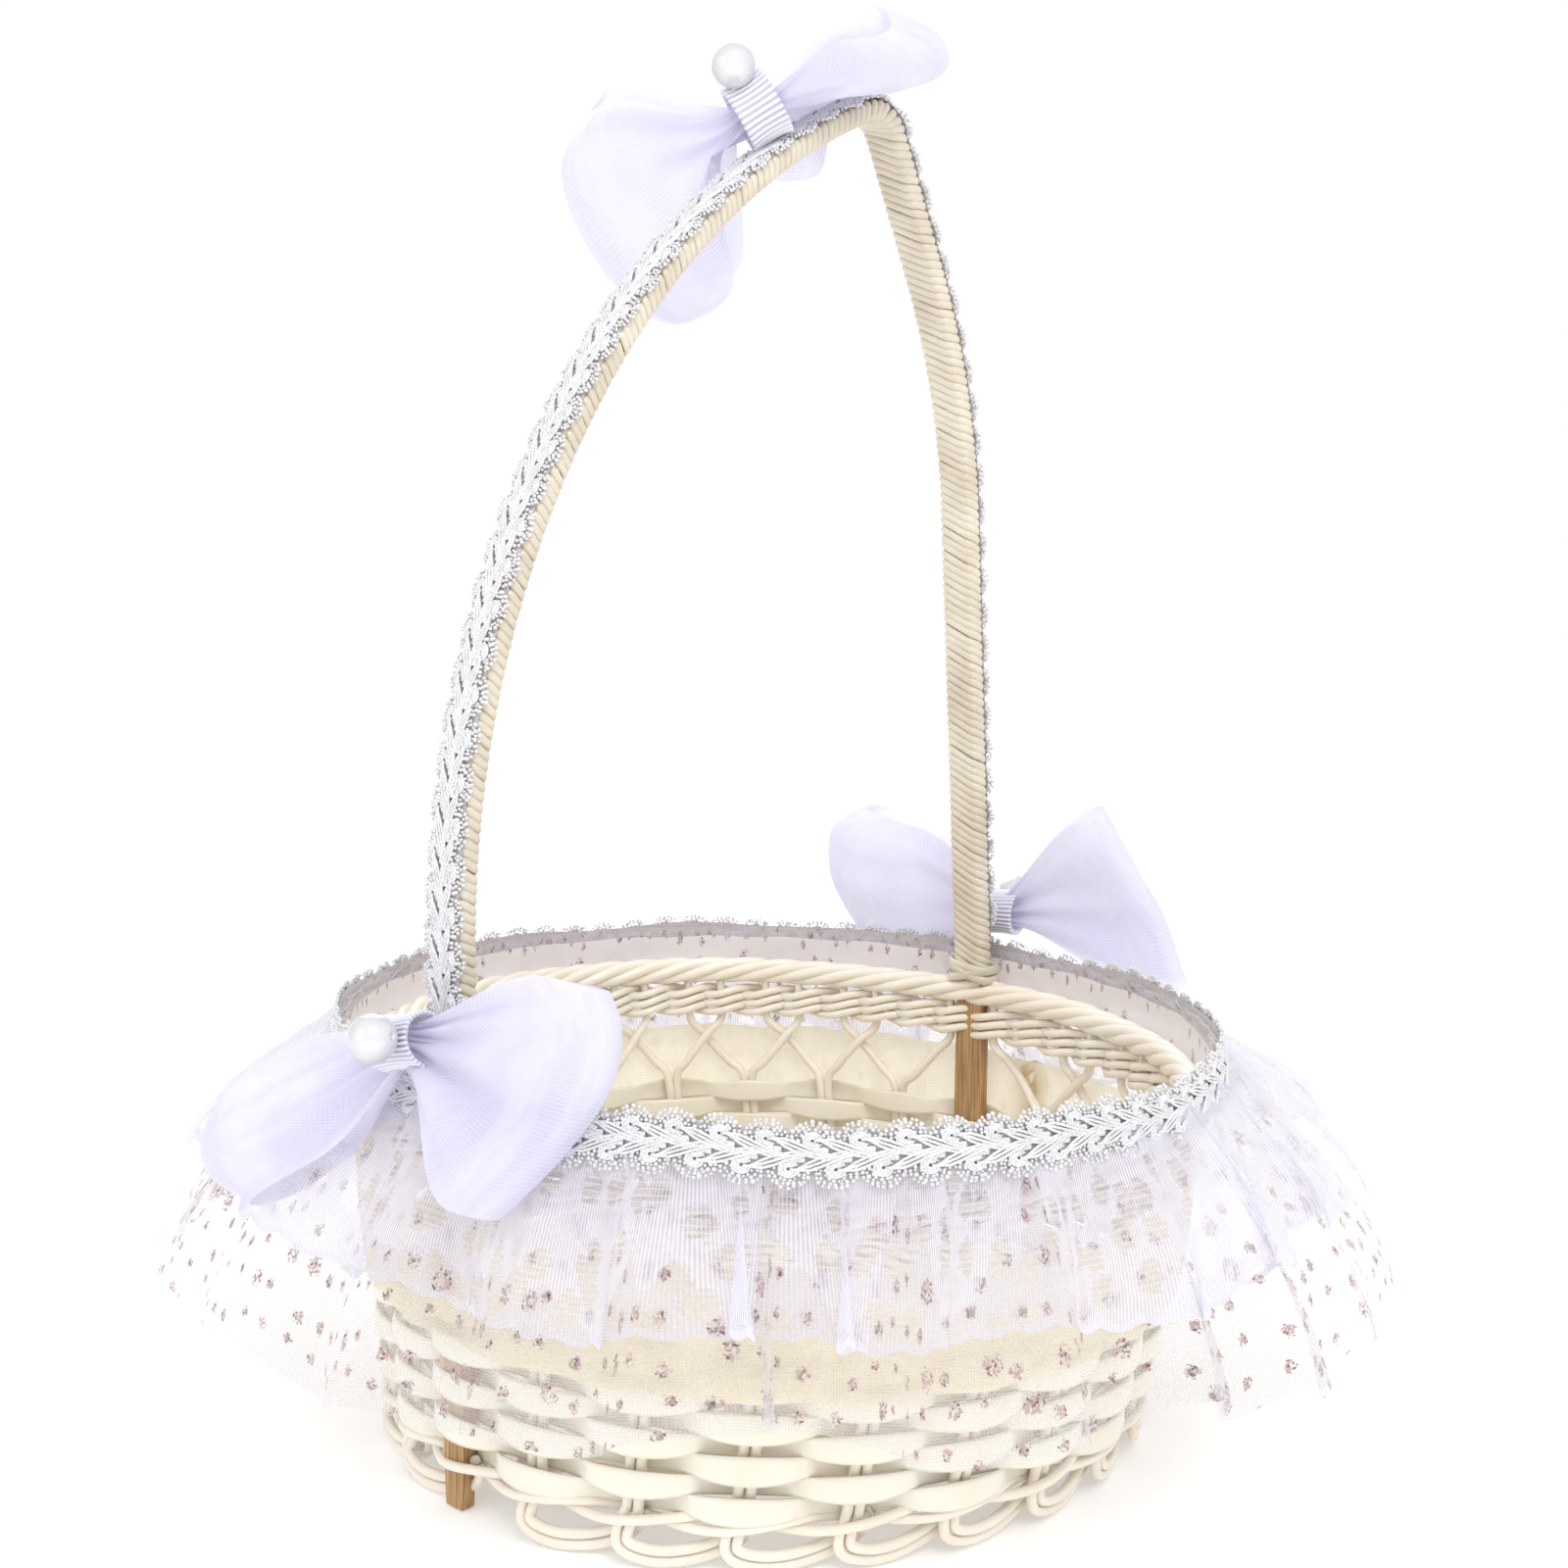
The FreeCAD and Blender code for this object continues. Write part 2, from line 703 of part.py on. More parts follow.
TOP_BOW_X = 8.0                             # where the top bow's knot sits along the slat
TOP_BOW_OUT = Vector(-0.68, 0, 0.73)        # where its pearl looks
TOP_BOW_WING = Vector(0.27, -0.93, 0.25)    # where its raised wing points
SIDE_BOW_TURN = 0.30                        # how far a side bow is turned round the wall
SIDE_BOW_TILT = 0.28                        # and tipped up
SIDE_BOW_OUT, SIDE_BOW_UP = 15.0, 20.0      # its knot from the stake line and the wall top


def top_bow_place():
    """On the braid of the bowed slat, near the bend, with one wing up and one down."""
    big = dim("left_bow_radius")
    centre = Vector(big - RIM_X, HANDLE_Y, dim("spring_line"))
    turn = math.acos((TOP_BOW_X - centre.x) / big)
    lift = big + dim("slat_thick") / 2 + dim("wrap_thick") + dim("braid_thick") + 0.5
    lift += dim("knot_radius")
    spot = centre + Vector(math.cos(turn), 0, math.sin(turn)) * lift
    return Placement(spot, facing(TOP_BOW_OUT, TOP_BOW_WING))


def side_bow_place(side):
    """Outside a leg of the handle, over the rim braid, with the wings along the rim."""
    outward = Vector(side, side * SIDE_BOW_TURN, SIDE_BOW_TILT)
    spot = Vector(side * (RIM_X + SIDE_BOW_OUT), HANDLE_Y, WALL + SIDE_BOW_UP)
    return Placement(spot, facing(outward, Vector(0, 1, 0)))


# ---------------------------------------------------------------- the basket
TAPE_LOW, TAPE_HIGH, TAPE_OUT = 95.5, 109.5, 4.9
BRAID_LOW, BRAID_HIGH = WALL - 2.5, WALL + 12.0
BRAID_OUT_LOW, BRAID_OUT_HIGH = 10.6, 8.6       # the braid leans in towards its top edge
LACE_TOP, LACE_HEAD, LACE_STRAIGHT, LACE_FLARE, LACE_DEPTH = 108.0, 7.9, 21.0, 38.0, 2.6
ORGANZA_TOP, ORGANZA_HEAD, ORGANZA_STRAIGHT, ORGANZA_FLARE, ORGANZA_DEPTH = (
    109.0, 6.4, 17.0, 54.0, 2.4)

pieces = [
    make_handle_core(),
    make_handle_wrap(),
    make_handle_braid(),
    make_lashings(),
    make_stakes(),
    make_strips(),
    twined_rows("upper_weavers", UPPER_ROWS),
    twined_rows("foot_weavers", FOOT_ROWS),
    make_foot_border(),
    make_base_sticks(),
    make_base_weave(),
    make_rope(),
    oval_band("heading_tape", TAPE_LOW, TAPE_HIGH, TAPE_OUT, TAPE_OUT, "cloth_thick"),
    oval_band("rim_braid", BRAID_LOW, BRAID_HIGH, BRAID_OUT_LOW, BRAID_OUT_HIGH, "braid_thick"),
    oval_band("satin_sash", dim("sash_low"), dim("sash_high"),
              dim("sash_gap"), dim("sash_gap"), "cloth_thick"),
    make_sash_knot(),
    gathered_skirt("lace_ruffle", LACE_TOP, dim("lace_drop"),
                   LACE_HEAD, LACE_STRAIGHT, LACE_FLARE, LACE_DEPTH),
    gathered_skirt("organza_ruffle", ORGANZA_TOP, dim("organza_drop"),
                   ORGANZA_HEAD, ORGANZA_STRAIGHT, ORGANZA_FLARE, ORGANZA_DEPTH),
]
pieces += make_bow("top_bow", top_bow_place())
pieces += make_bow("left_bow", side_bow_place(-1))
pieces += make_bow("right_bow", side_bow_place(1))

doc.recompute()

for obj in doc.Objects:
    if "Invalid" in obj.State or "Error" in obj.State:
        raise RuntimeError("%s is in state %s" % (obj.Name, obj.State))
for piece in pieces:
    if piece.Shape.isNull() or not piece.Shape.isValid() or not piece.Shape.Solids:
        raise RuntimeError("%s has no valid solid" % piece.Label)

os.makedirs("parts", exist_ok=True)
for piece in pieces:
    piece.Shape.exportStep("parts/%s.step" % piece.Label)
    box = piece.Shape.BoundBox
    print("%-18s %3d solids  volume %9.1f  x %.1f..%.1f  y %.1f..%.1f  z %.1f..%.1f" % (
        piece.Label, len(piece.Shape.Solids), piece.Shape.Volume,
        box.XMin, box.XMax, box.YMin, box.YMax, box.ZMin, box.ZMax))
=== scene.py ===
import itertools
import math

import bpy
import numpy as np
from mathutils import Matrix, Vector


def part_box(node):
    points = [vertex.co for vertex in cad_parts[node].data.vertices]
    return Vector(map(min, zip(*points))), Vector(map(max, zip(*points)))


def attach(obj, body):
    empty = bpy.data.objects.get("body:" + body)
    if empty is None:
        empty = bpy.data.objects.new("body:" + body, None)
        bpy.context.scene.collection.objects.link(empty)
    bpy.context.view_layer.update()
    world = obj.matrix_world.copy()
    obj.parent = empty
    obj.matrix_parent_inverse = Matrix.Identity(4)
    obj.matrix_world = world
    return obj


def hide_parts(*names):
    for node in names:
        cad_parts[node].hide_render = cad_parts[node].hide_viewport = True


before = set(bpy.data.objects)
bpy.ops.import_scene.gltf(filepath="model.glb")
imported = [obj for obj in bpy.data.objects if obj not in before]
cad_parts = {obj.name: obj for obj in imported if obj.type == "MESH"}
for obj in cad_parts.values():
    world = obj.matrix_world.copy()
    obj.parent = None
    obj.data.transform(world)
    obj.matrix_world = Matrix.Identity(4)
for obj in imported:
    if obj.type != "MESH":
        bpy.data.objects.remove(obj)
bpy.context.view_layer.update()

# Flower girl basket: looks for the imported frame. Lengths in this script are millimetres,
# turned into metres where a mesh is made. +Z up, the same frame as the CAD.

MM = 0.001
TAU = math.tau
rng = np.random.default_rng(23)

# ---- sizes from the frame


def node_box(name):
    low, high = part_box(name)
    return np.array(low) / MM, np.array(high) / MM


slat_low, slat_high = node_box("handle_slat")
rope_low, rope_high = node_box("rim_rope")
strip_low, strip_high = node_box("flat_strips")
weaver_low, weaver_high = node_box("upper_weavers")
foot_low, foot_high = node_box("foot_weavers")
sash_low, sash_high = node_box("satin_sash")
braid_low, braid_high = node_box("rim_braid")
tape_low, tape_high = node_box("heading_tape")

HANDLE_Y = (slat_low[1] + slat_high[1]) / 2
SLAT_HALF_Y = (slat_high[1] - slat_low[1]) / 2
SLAT_HALF_N = 2.0   # half the slat's thickness
RIM_X = slat_high[0] - SLAT_HALF_N
ROPE_R = (rope_high[2] - rope_low[2]) / 2
RIM_Y = rope_high[1] - ROPE_R
WALL = rope_high[2]  # height of the wicker wall
FOOT_X = RIM_X
FOOT_Y = 102.0      # half the depth of the wall at the table
BELLY = 1.6         # how quickly the wall swells from foot to rim
UPRIGHTS = 26       # 24 pairs of stakes and the two legs of the slat
HALF_COUNT = UPRIGHTS // 2
SLAT_ANGLE = math.asin(HANDLE_Y / RIM_Y)
CANE_R = 1.4        # stakes and foot loops
WEAVER_R = 1.3      # round weavers

# ---- wall geometry


def half_axes(height):
    rise = np.clip(np.asarray(height, float) / WALL, 0, 1)
    swell = 1 - (1 - rise) ** BELLY
    return FOOT_X + (RIM_X - FOOT_X) * swell, FOOT_Y + (RIM_Y - FOOT_Y) * swell


def wall_out(angle, height):
    """Unit vectors that point straight out of the wall."""
    half_x, half_y = half_axes(height)
    return unit(stacked(half_y * np.cos(angle), half_x * np.sin(angle), 0.0))


def wall_point(angle, height, out=0.0, along=0.0):
    """Points on the wall, out from the stake line and shifted along the rim."""
    angle = np.asarray(angle, float)
    height = np.asarray(height, float) + 0 * angle
    half_x, half_y = half_axes(height)
    speed = np.hypot(half_x * np.sin(angle), half_y * np.cos(angle))
    turned = angle + along / speed
    centre = np.stack([half_x * np.cos(turned), half_y * np.sin(turned), height], -1)
    return centre + wall_out(turned, height) * np.expand_dims(out + 0 * turned, -1)


def upright_angles():
    """Angles of the uprights, evenly spaced between the two legs of the slat."""
    far_arc = math.pi - 2 * SLAT_ANGLE
    near_arc = math.pi + 2 * SLAT_ANGLE
    first = [SLAT_ANGLE + far_arc * i / HALF_COUNT for i in range(HALF_COUNT)]
    last = [math.pi - SLAT_ANGLE + near_arc * i / HALF_COUNT for i in range(HALF_COUNT)]
    return np.array(first + last)


ANGLES = upright_angles()
PAIRS = [i for i in range(UPRIGHTS) if i not in (0, HALF_COUNT)]


def phase_angle(phase):
    """The angle of a place counted in uprights, whole numbers falling on them."""
    phase = np.asarray(phase, float)
    knots = np.append(ANGLES, ANGLES[0] + TAU)
    turns = np.floor(phase / UPRIGHTS)
    return np.interp(phase - turns * UPRIGHTS, np.arange(UPRIGHTS + 1), knots) + turns * TAU


# ---- mesh helpers
class Builder:
    """Collects vertices and faces of one piece."""

    def __init__(self):
        self.verts = []
        self.faces = []
        self.cloth = []
        self.count = 0

    def add(self, verts, faces, cloth=None):
        verts = np.asarray(verts, float).reshape(-1, 3)
        self.verts.append(verts)
        self.faces.extend(tuple(int(i) + self.count for i in face) for face in faces)
        if cloth is None:
            cloth = np.zeros((len(verts), 3))
        self.cloth.append(np.asarray(cloth, float).reshape(-1, 3))
        self.count += len(verts)


def grid_faces(rows, cols, wrap_rows=False, wrap_cols=False):
    r = np.arange(rows if wrap_rows else rows - 1)
    c = np.arange(cols if wrap_cols else cols - 1)
    a, b = np.meshgrid(r, c, indexing="ij")
    a2, b2 = (a + 1) % rows, (b + 1) % cols
    quads = np.stack([a * cols + b, a2 * cols + b, a2 * cols + b2, a * cols + b2], -1)
    return quads.reshape(-1, 4)


def stacked(*parts):
    return np.stack(np.broadcast_arrays(*parts), -1)


def polar(degrees):
    return np.array([math.cos(math.radians(degrees)), math.sin(math.radians(degrees))])


def unit(vectors):
    return vectors / np.maximum(np.linalg.norm(vectors, axis=-1, keepdims=True), 1e-9)


def path_tangents(path, closed=False):
    if closed:
        return unit(np.roll(path, -1, 0) - np.roll(path, 1, 0))
    return unit(np.gradient(path, axis=0))


def smooth_path(points, count, closed=False):
    """A Catmull-Rom curve through the points."""
    points = np.asarray(points, float)
    n = len(points)
    if closed:
        t = np.arange(count) * n / count
    else:
        t = np.linspace(0, n - 1, count)
        t[-1] -= 1e-9
    i = np.floor(t).astype(int)
    f = (t - i)[:, None]

    def pick(k):
        return points[k % n] if closed else points[np.clip(k, 0, n - 1)]

    p0, p1, p2, p3 = pick(i - 1), pick(i), pick(i + 1), pick(i + 2)
    return 0.5 * (2 * p1 + (p2 - p0) * f + (2 * p0 - 5 * p1 + 4 * p2 - p3) * f ** 2
                  + (3 * p1 - p0 - 3 * p2 + p3) * f ** 3)


def sweep(build, path, normals, section, closed=False, capped=True):
    """Sweeps section rows of (along normal, across) along a path."""
    path = np.asarray(path, float)
    tangent = path_tangents(path, closed)
    n1 = unit(normals - (normals * tangent).sum(-1, keepdims=True) * tangent)
    n2 = np.cross(tangent, n1)
    section = np.asarray(section, float)
    if section.ndim == 2:
        section = np.broadcast_to(section, (len(path),) + section.shape)
    verts = (path[:, None] + n1[:, None] * section[..., :1] + n2[:, None] * section[..., 1:2])
    rows, cols = verts.shape[:2]
    faces = [tuple(q) for q in grid_faces(rows, cols, closed, True)]
    if capped and not closed:
        faces.append(tuple(range(cols))[::-1])
        faces.append(tuple((rows - 1) * cols + k for k in range(cols)))
    build.add(verts, faces)


def round_section(radius, sides=8, flat=1.0):
    turn = TAU * np.arange(sides) / sides
    return np.stack([radius * flat * np.cos(turn), radius * np.sin(turn)], -1)


def make_piece(name, build, material, node):
    """One Blender object that rides on the basket and stands for a CAD node.

    material is a key of MATERIALS.
    """
    mesh = bpy.data.meshes.new(name)
    verts = np.concatenate(build.verts) * MM
    mesh.from_pydata(verts.tolist(), [], build.faces)
    cloth = mesh.attributes.new("cloth", "FLOAT_VECTOR", "POINT")
    cloth.data.foreach_set("vector", np.concatenate(build.cloth).astype(np.float32).ravel())
    mesh.polygons.foreach_set("use_smooth", [True] * len(mesh.polygons))
    mesh.validate()
    mesh.update()
    mesh.materials.append(MATERIALS[material])
    obj = bpy.data.objects.new(name, mesh)
    bpy.context.scene.collection.objects.link(obj)
    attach(obj, "root")
    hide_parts(node)


# ---- materials
class Nodes:
    """Short calls for building a node material."""

    def __init__(self, name):
        self.mat = bpy.data.materials.new(name)
        self.mat.use_nodes = True
        self.tree = self.mat.node_tree
        self.tree.nodes.clear()
        self.out = self.new("OutputMaterial")

    def new(self, kind):
        return self.tree.nodes.new("ShaderNode" + kind)

    def filled(self, kind, dimensions=None, **values):
        """The outputs of a new node with the named inputs set or linked."""
        made = self.new(kind)
        if dimensions is not None:
            made.voronoi_dimensions = dimensions
        for key, value in values.items():
            if isinstance(value, tuple):
                value = value + (1.0,)
            self.put(made.inputs[key.replace("_", " ")], value)
        return made.outputs

    def put(self, socket, value):
        if isinstance(value, bpy.types.NodeSocket):
            self.tree.links.new(value, socket)
        else:
            socket.default_value = value

    def maths(self, operation, first, second=0.0, third=0.0):
        made = self.new("Math")
        made.operation = operation
        for socket, value in zip(made.inputs, (first, second, third)):
            self.put(socket, value)
        return made.outputs[0]

    def times(self, first, second):
        return self.maths("MULTIPLY", first, second)

    def half(self, wave):
        """Turns a wave of -1 to 1 into a share of 0 to 1."""
        return self.maths("MULTIPLY_ADD", wave, 0.5, 0.5)

    def cells(self, vector, scale, randomness=1.0):
        """Scattered cells over a flat cloth."""
        return self.filled("TexVoronoi", "2D", Vector=vector, Scale=scale,
                           Randomness=randomness)

    def place(self):
        return self.new("TexCoord").outputs["Object"]

    def cloth(self):
        made = self.new("Attribute")
        made.attribute_name = "cloth"
        return made.outputs["Vector"]

    def split(self, vector):
        made = self.new("SeparateXYZ")
        self.put(made.inputs[0], vector)
        return made.outputs

    def scaled(self, vector, scale):
        made = self.new("VectorMath")
        made.operation = "MULTIPLY"
        self.put(made.inputs[0], vector)
        self.put(made.inputs[1], scale)
        return made.outputs[0]

    def noise(self, vector, scale, detail=3.0):
        return self.filled("TexNoise", Vector=vector, Scale=scale, Detail=detail)["Fac"]

    def ramp(self, value, *stops):
        made = self.new("ValToRGB")
        self.put(made.inputs[0], value)
        elements = made.color_ramp.elements
        while len(elements) < len(stops):
            elements.new(0.5)
        for element, (place, colour) in zip(elements, stops):
            element.position = place
            if isinstance(colour, (int, float)):
                colour = (colour, colour, colour)
            element.color = tuple(colour) + (1.0,)
        return made.outputs[0]

    def blend(self, share, first, second):
        made = self.new("Mix")
        made.data_type = "RGBA"
        self.put(made.inputs[0], share)
        for socket, value in ((made.inputs[6], first), (made.inputs[7], second)):
            if isinstance(value, tuple):
                value = value + (1.0,)
            self.put(socket, value)
        return made.outputs[2]

    def bump(self, height, strength, distance):
        return self.filled("Bump", Height=height, Strength=strength, Distance=distance)[0]

    def surface(self, **values):
        return self.filled("BsdfPrincipled", **values)[0]

    def mix(self, share, first, second):
        made = self.new("MixShader")
        for socket, value in zip(made.inputs, (share, first, second)):
            self.put(socket, value)
        return made.outputs[0]

    def finish(self, shader):
        self.tree.links.new(shader, self.out.inputs["Surface"])
        return self.mat


def cane_material(name, light, dark, roughness):
    """Glossy plastic cane: fine drawn streaks, slow colour drift and small dents."""
    n = Nodes(name)
    place = n.place()
    drift = n.noise(place, 55.0, 2.0)
    streak = n.noise(n.scaled(place, (1.0, 1.0, 0.25)), 900.0, 3.0)
    colour = n.blend(n.ramp(drift, (0.35, 0.0), (0.7, 1.0)), light, dark)
    rough = n.maths("MULTIPLY_ADD", streak, 0.22, roughness - 0.08)
    normal = n.bump(n.maths("MULTIPLY_ADD", drift, 0.8, streak), 0.25, 0.0003)
    return n.finish(n.surface(
        Base_Color=colour, Roughness=rough, Normal=normal, Coat_Weight=0.35,
        Coat_Roughness=0.18, Subsurface_Weight=0.12, Subsurface_Scale=0.002))


def bamboo_material():
    """Split bamboo: long fibres along Z with darker vascular streaks."""
    n = Nodes("bamboo")
    place = n.place()
    fibre = n.noise(n.scaled(place, (1.0, 1.0, 0.03)), 1500.0, 4.0)
    band = n.noise(n.scaled(place, (1.0, 1.0, 0.08)), 420.0, 3.0)
    colour = n.ramp(fibre, (0.30, (0.23, 0.12, 0.045)), (0.5, (0.47, 0.28, 0.12)),
                    (0.72, (0.66, 0.44, 0.22)))
    colour = n.blend(n.ramp(band, (0.45, 0.0), (0.75, 0.6)), colour, (0.30, 0.16, 0.07))
    normal = n.bump(fibre, 0.6, 0.0004)
    return n.finish(n.surface(Base_Color=colour, Roughness=0.62, Normal=normal))


def cord_material(name, light, shade):
    """Rayon cord: fine twist lines painted light on the threads with painted shade between them,
    soft patches darker towards the shade colour, and a sheen.
    """
    n = Nodes(name)
    place = n.place()
    twist = n.noise(place, 2600.0, 2.0)
    patch = n.noise(place, 160.0, 2.0)
    # painted light and shade: the twist lines run from the shade colour between the threads to
    # the light colour on them
    colour = n.blend(n.ramp(twist, (0.35, 0.0), (0.6, 1.0)), shade, light)
    # soft patches, darker towards the shade colour
    colour = n.blend(n.ramp(patch, (0.4, 0.0), (0.8, 0.35)), colour, shade)
    normal = n.bump(twist, 0.5, 0.0003)
    return n.finish(n.surface(
        Base_Color=colour, Roughness=0.33, Normal=normal, Sheen_Weight=0.4,
        Metallic=0.12, Specular_IOR_Level=0.7))


def pearl_material():
    """Bead pearl: silvery white, with painted shade that darkens it towards grazing angles, and
    soft rosy clouds.
    """
    n = Nodes("pearl")
    place = n.place()
    # painted shade: lighter where the pearl faces the camera, darker towards the rim
    facing = n.filled("LayerWeight", Blend=0.35)["Facing"]
    colour = n.ramp(facing, (0.0, (0.76, 0.74, 0.77)),
                    (0.45, (0.58, 0.56, 0.59)), (1.0, (0.36, 0.36, 0.40)))
    cloud = n.noise(place, 260.0, 3.0)
    colour = n.blend(n.ramp(cloud, (0.4, 0.0), (0.9, 0.25)), colour, (0.88, 0.83, 0.83))
    return n.finish(n.surface(
        Base_Color=colour, Roughness=0.16, Coat_Weight=0.8, Coat_Roughness=0.05,
        Sheen_Weight=0.3, Metallic=0.15))


def stripes(n, value, pitch):
    """A wave from -1 to 1 that repeats every pitch."""
    return n.maths("SINE", n.times(value, TAU / pitch))


def net_height(n, vector, pitch):
    """Crossing threads: a wave from -1 to 1 that is high on every thread."""
    parts = n.split(vector)
    return n.maths("MAXIMUM", stripes(n, parts[0], pitch), stripes(n, parts[1], pitch))


def sheer_shader(n, colour, alpha, roughness, glow, normal=None):
    """Thin cloth: diffuse and see-through light, let past where alpha is low."""
    relief = {} if normal is None else {"Normal": normal}
    front = n.surface(Base_Color=colour, Roughness=roughness, Sheen_Weight=0.3, **relief)
    through = n.filled("BsdfTranslucent", Color=colour)[0]
    clear = n.filled("BsdfTransparent")[0]
    return n.mix(alpha, clear, n.mix(glow, front, through))


def glitter(n, vector, pitch):
    """Printed glitter dots on a loose grid: a mask and a colour of small flakes.

    vector holds millimetres of cloth. Every cell of the grid has one dot that is moved
    about in it, and every few cells one is large and broken up into flakes.
    """
    cells = n.cells(vector, 1.0 / pitch, 0.55)
    pick = n.split(cells["Color"])
    big = n.maths("GREATER_THAN", pick[0], 0.82)
    radius = n.maths("MULTIPLY_ADD", big, 0.10, n.maths("MULTIPLY_ADD", pick[1], 0.05, 0.12))
    tone = n.split(n.cells(vector, 1.7)["Color"])
    rough_edge = n.maths("MULTIPLY_ADD", tone[1], 0.11, -0.055)
    inside = n.maths("LESS_THAN", n.maths("ADD", cells["Distance"], rough_edge), radius)
    gap = n.maths("GREATER_THAN", tone[2], n.maths("MULTIPLY_ADD", big, 0.25, 0.08))
    mask = n.times(inside, gap)
    colour = n.ramp(tone[0], (0.0, (0.12, 0.05, 0.07)), (0.18, (0.34, 0.29, 0.29)),
                    (0.45, (0.70, 0.42, 0.46)), (0.7, (0.46, 0.42, 0.41)),
                    (1.0, (0.86, 0.80, 0.82)))
    return mask, colour


def dotted_net(name, shade, light, clear, solid, dot_pitch):
    """Sheer square net, clear between its threads, with glitter dots."""
    n = Nodes(name)
    cloth = n.cloth()
    thread = n.half(net_height(n, cloth, 0.75))
    alpha = n.ramp(thread, (0.55, clear), (0.95, solid))
    mask, flake = glitter(n, cloth, dot_pitch)
    alpha = n.maths("MAXIMUM", alpha, n.times(mask, 0.92))
    colour = n.blend(mask, n.blend(thread, light, shade), flake)
    return n.finish(sheer_shader(n, colour, alpha, 0.45, 0.4))


def lace_material():
    """Lace: dense ribbed sprays round clear windows of net, and a solid scalloped edge."""
    n = Nodes("lace")
    cloth = n.cloth()
    parts = n.split(cloth)
    rib = stripes(n, parts[0], 0.9)
    rung = stripes(n, parts[1], 1.5)
    wobble = n.noise(cloth, 0.40, 3.0)
    windows = n.cells(n.scaled(cloth, (1.0, 0.85, 1.0)), 1.0 / 10.5, 0.75)
    edge = n.maths("MULTIPLY_ADD", wobble, 0.50, windows["Distance"])
    spray = n.ramp(edge, (0.50, 0.0), (0.62, 1.0))
    net = n.ramp(n.half(n.maths("MAXIMUM", rib, rung)), (0.70, 0.14), (0.97, 0.62))
    ribbed = n.ramp(n.half(rib), (0.0, 0.50), (1.0, 0.92))
    alpha = n.maths("ADD", n.times(spray, ribbed),
                    n.times(n.maths("SUBTRACT", 1.0, spray), net))
    hem = n.maths("GREATER_THAN", parts[2], 0.955)
    alpha = n.maths("MAXIMUM", alpha, n.times(hem, 0.85))
    colour = n.blend(n.half(rib), (0.78, 0.77, 0.91), (0.92, 0.91, 0.99))
    return n.finish(sheer_shader(n, colour, alpha, 0.6, 0.35))


def ribbon_material(name, light, shade, alpha, moire, glow=0.35):
    """Sheer satin ribbon with a fine diagonal twill that shimmers in bands."""
    n = Nodes(name)
    cloth = n.cloth()
    parts = n.split(cloth)
    line = stripes(n, n.maths("ADD", parts[0], n.times(parts[1], 0.45)), 0.85)
    cross = stripes(n, parts[1], 0.9)
    band = n.noise(n.scaled(cloth, (1.0, 0.45, 1.0)), 0.07, 2.0)
    strength = n.ramp(band, (0.42, 0.0), (0.62, 1.0))
    twill = n.times(n.half(n.maths("MAXIMUM", line, cross)), n.times(strength, moire))
    colour = n.blend(twill, light, shade)
    see = n.maths("SUBTRACT", alpha, n.times(twill, 0.25))
    normal = n.bump(line, 0.12, 0.0002)
    return n.finish(sheer_shader(n, colour, see, 0.36, glow, normal))


def grosgrain_material():
    """Ribbed ribbon: light on the ribs, shaded between them."""
    n = Nodes("grosgrain")
    rib = n.maths("COSINE", n.times(n.split(n.cloth())[0], TAU))
    thread = n.noise(n.place(), 1800.0, 2.0)
    share = n.maths("MULTIPLY_ADD", rib, 0.42, n.maths("MULTIPLY_ADD", thread, 0.3, 0.35))
    colour = n.blend(share, (0.52, 0.51, 0.64), (0.92, 0.91, 0.98))
    return n.finish(n.surface(
        Base_Color=colour, Roughness=0.4, Sheen_Weight=0.3,
        Normal=n.bump(thread, 0.3, 0.0002)))


MATERIALS = {
    "cane": cane_material("ivory_cane", (0.93, 0.87, 0.77), (0.88, 0.80, 0.68), 0.30),
    "flat_cane": cane_material("ivory_strip", (0.90, 0.86, 0.76), (0.86, 0.81, 0.68), 0.34),
    "cane_wrap": cane_material("wound_cane", (0.76, 0.69, 0.57), (0.62, 0.54, 0.42), 0.20),
    "bamboo": bamboo_material(),
    "braid": cord_material("silver_white_braid", (0.92, 0.92, 0.93), (0.60, 0.60, 0.63)),
    # the tape under the gimp: its colour is darkened as painted shade between the cords
    "braid_backing_painted_shade": cord_material("braid_backing_painted_shade", (0.68, 0.64, 0.64), (0.54, 0.50, 0.50)),
    "pearl": pearl_material(),
    "organza": dotted_net("organza", (0.74, 0.72, 0.74), (0.96, 0.94, 0.95), 0.20, 0.55, 10.0),
    "lace": lace_material(),
    "tape": dotted_net("pink_heading", (0.98, 0.93, 0.92), (1.0, 0.97, 0.96), 0.82, 0.95, 11.0),
    "satin": ribbon_material("butter_satin", (1.0, 0.95, 0.77), (0.98, 0.89, 0.66), 0.94, 0.7,
                             0.55),
    "gold_satin": ribbon_material("gold_satin", (0.93, 0.72, 0.34), (0.75, 0.48, 0.16), 1.0, 0.6),
    "bow_ribbon": ribbon_material("lavender_ribbon", (0.85, 0.84, 0.96),
                                  (0.76, 0.745, 0.925), 0.93, 0.7),
    "knot_ribbon": grosgrain_material(),
}

# ---- wicker
SPLIT_LOW = strip_high[2] + 2.0
SPLIT_HIGH = weaver_low[2] - 1.5
STAKE_TOP = rope_low[2] + 1.0
PAIR_GAP = 1.45     # from a pair's middle line to each of its stakes
CROSSING = 0.71     # how far a stake leans past its own place, in uprights
STRIP_WIDTH, STRIP_ROWS = 4.9, 9


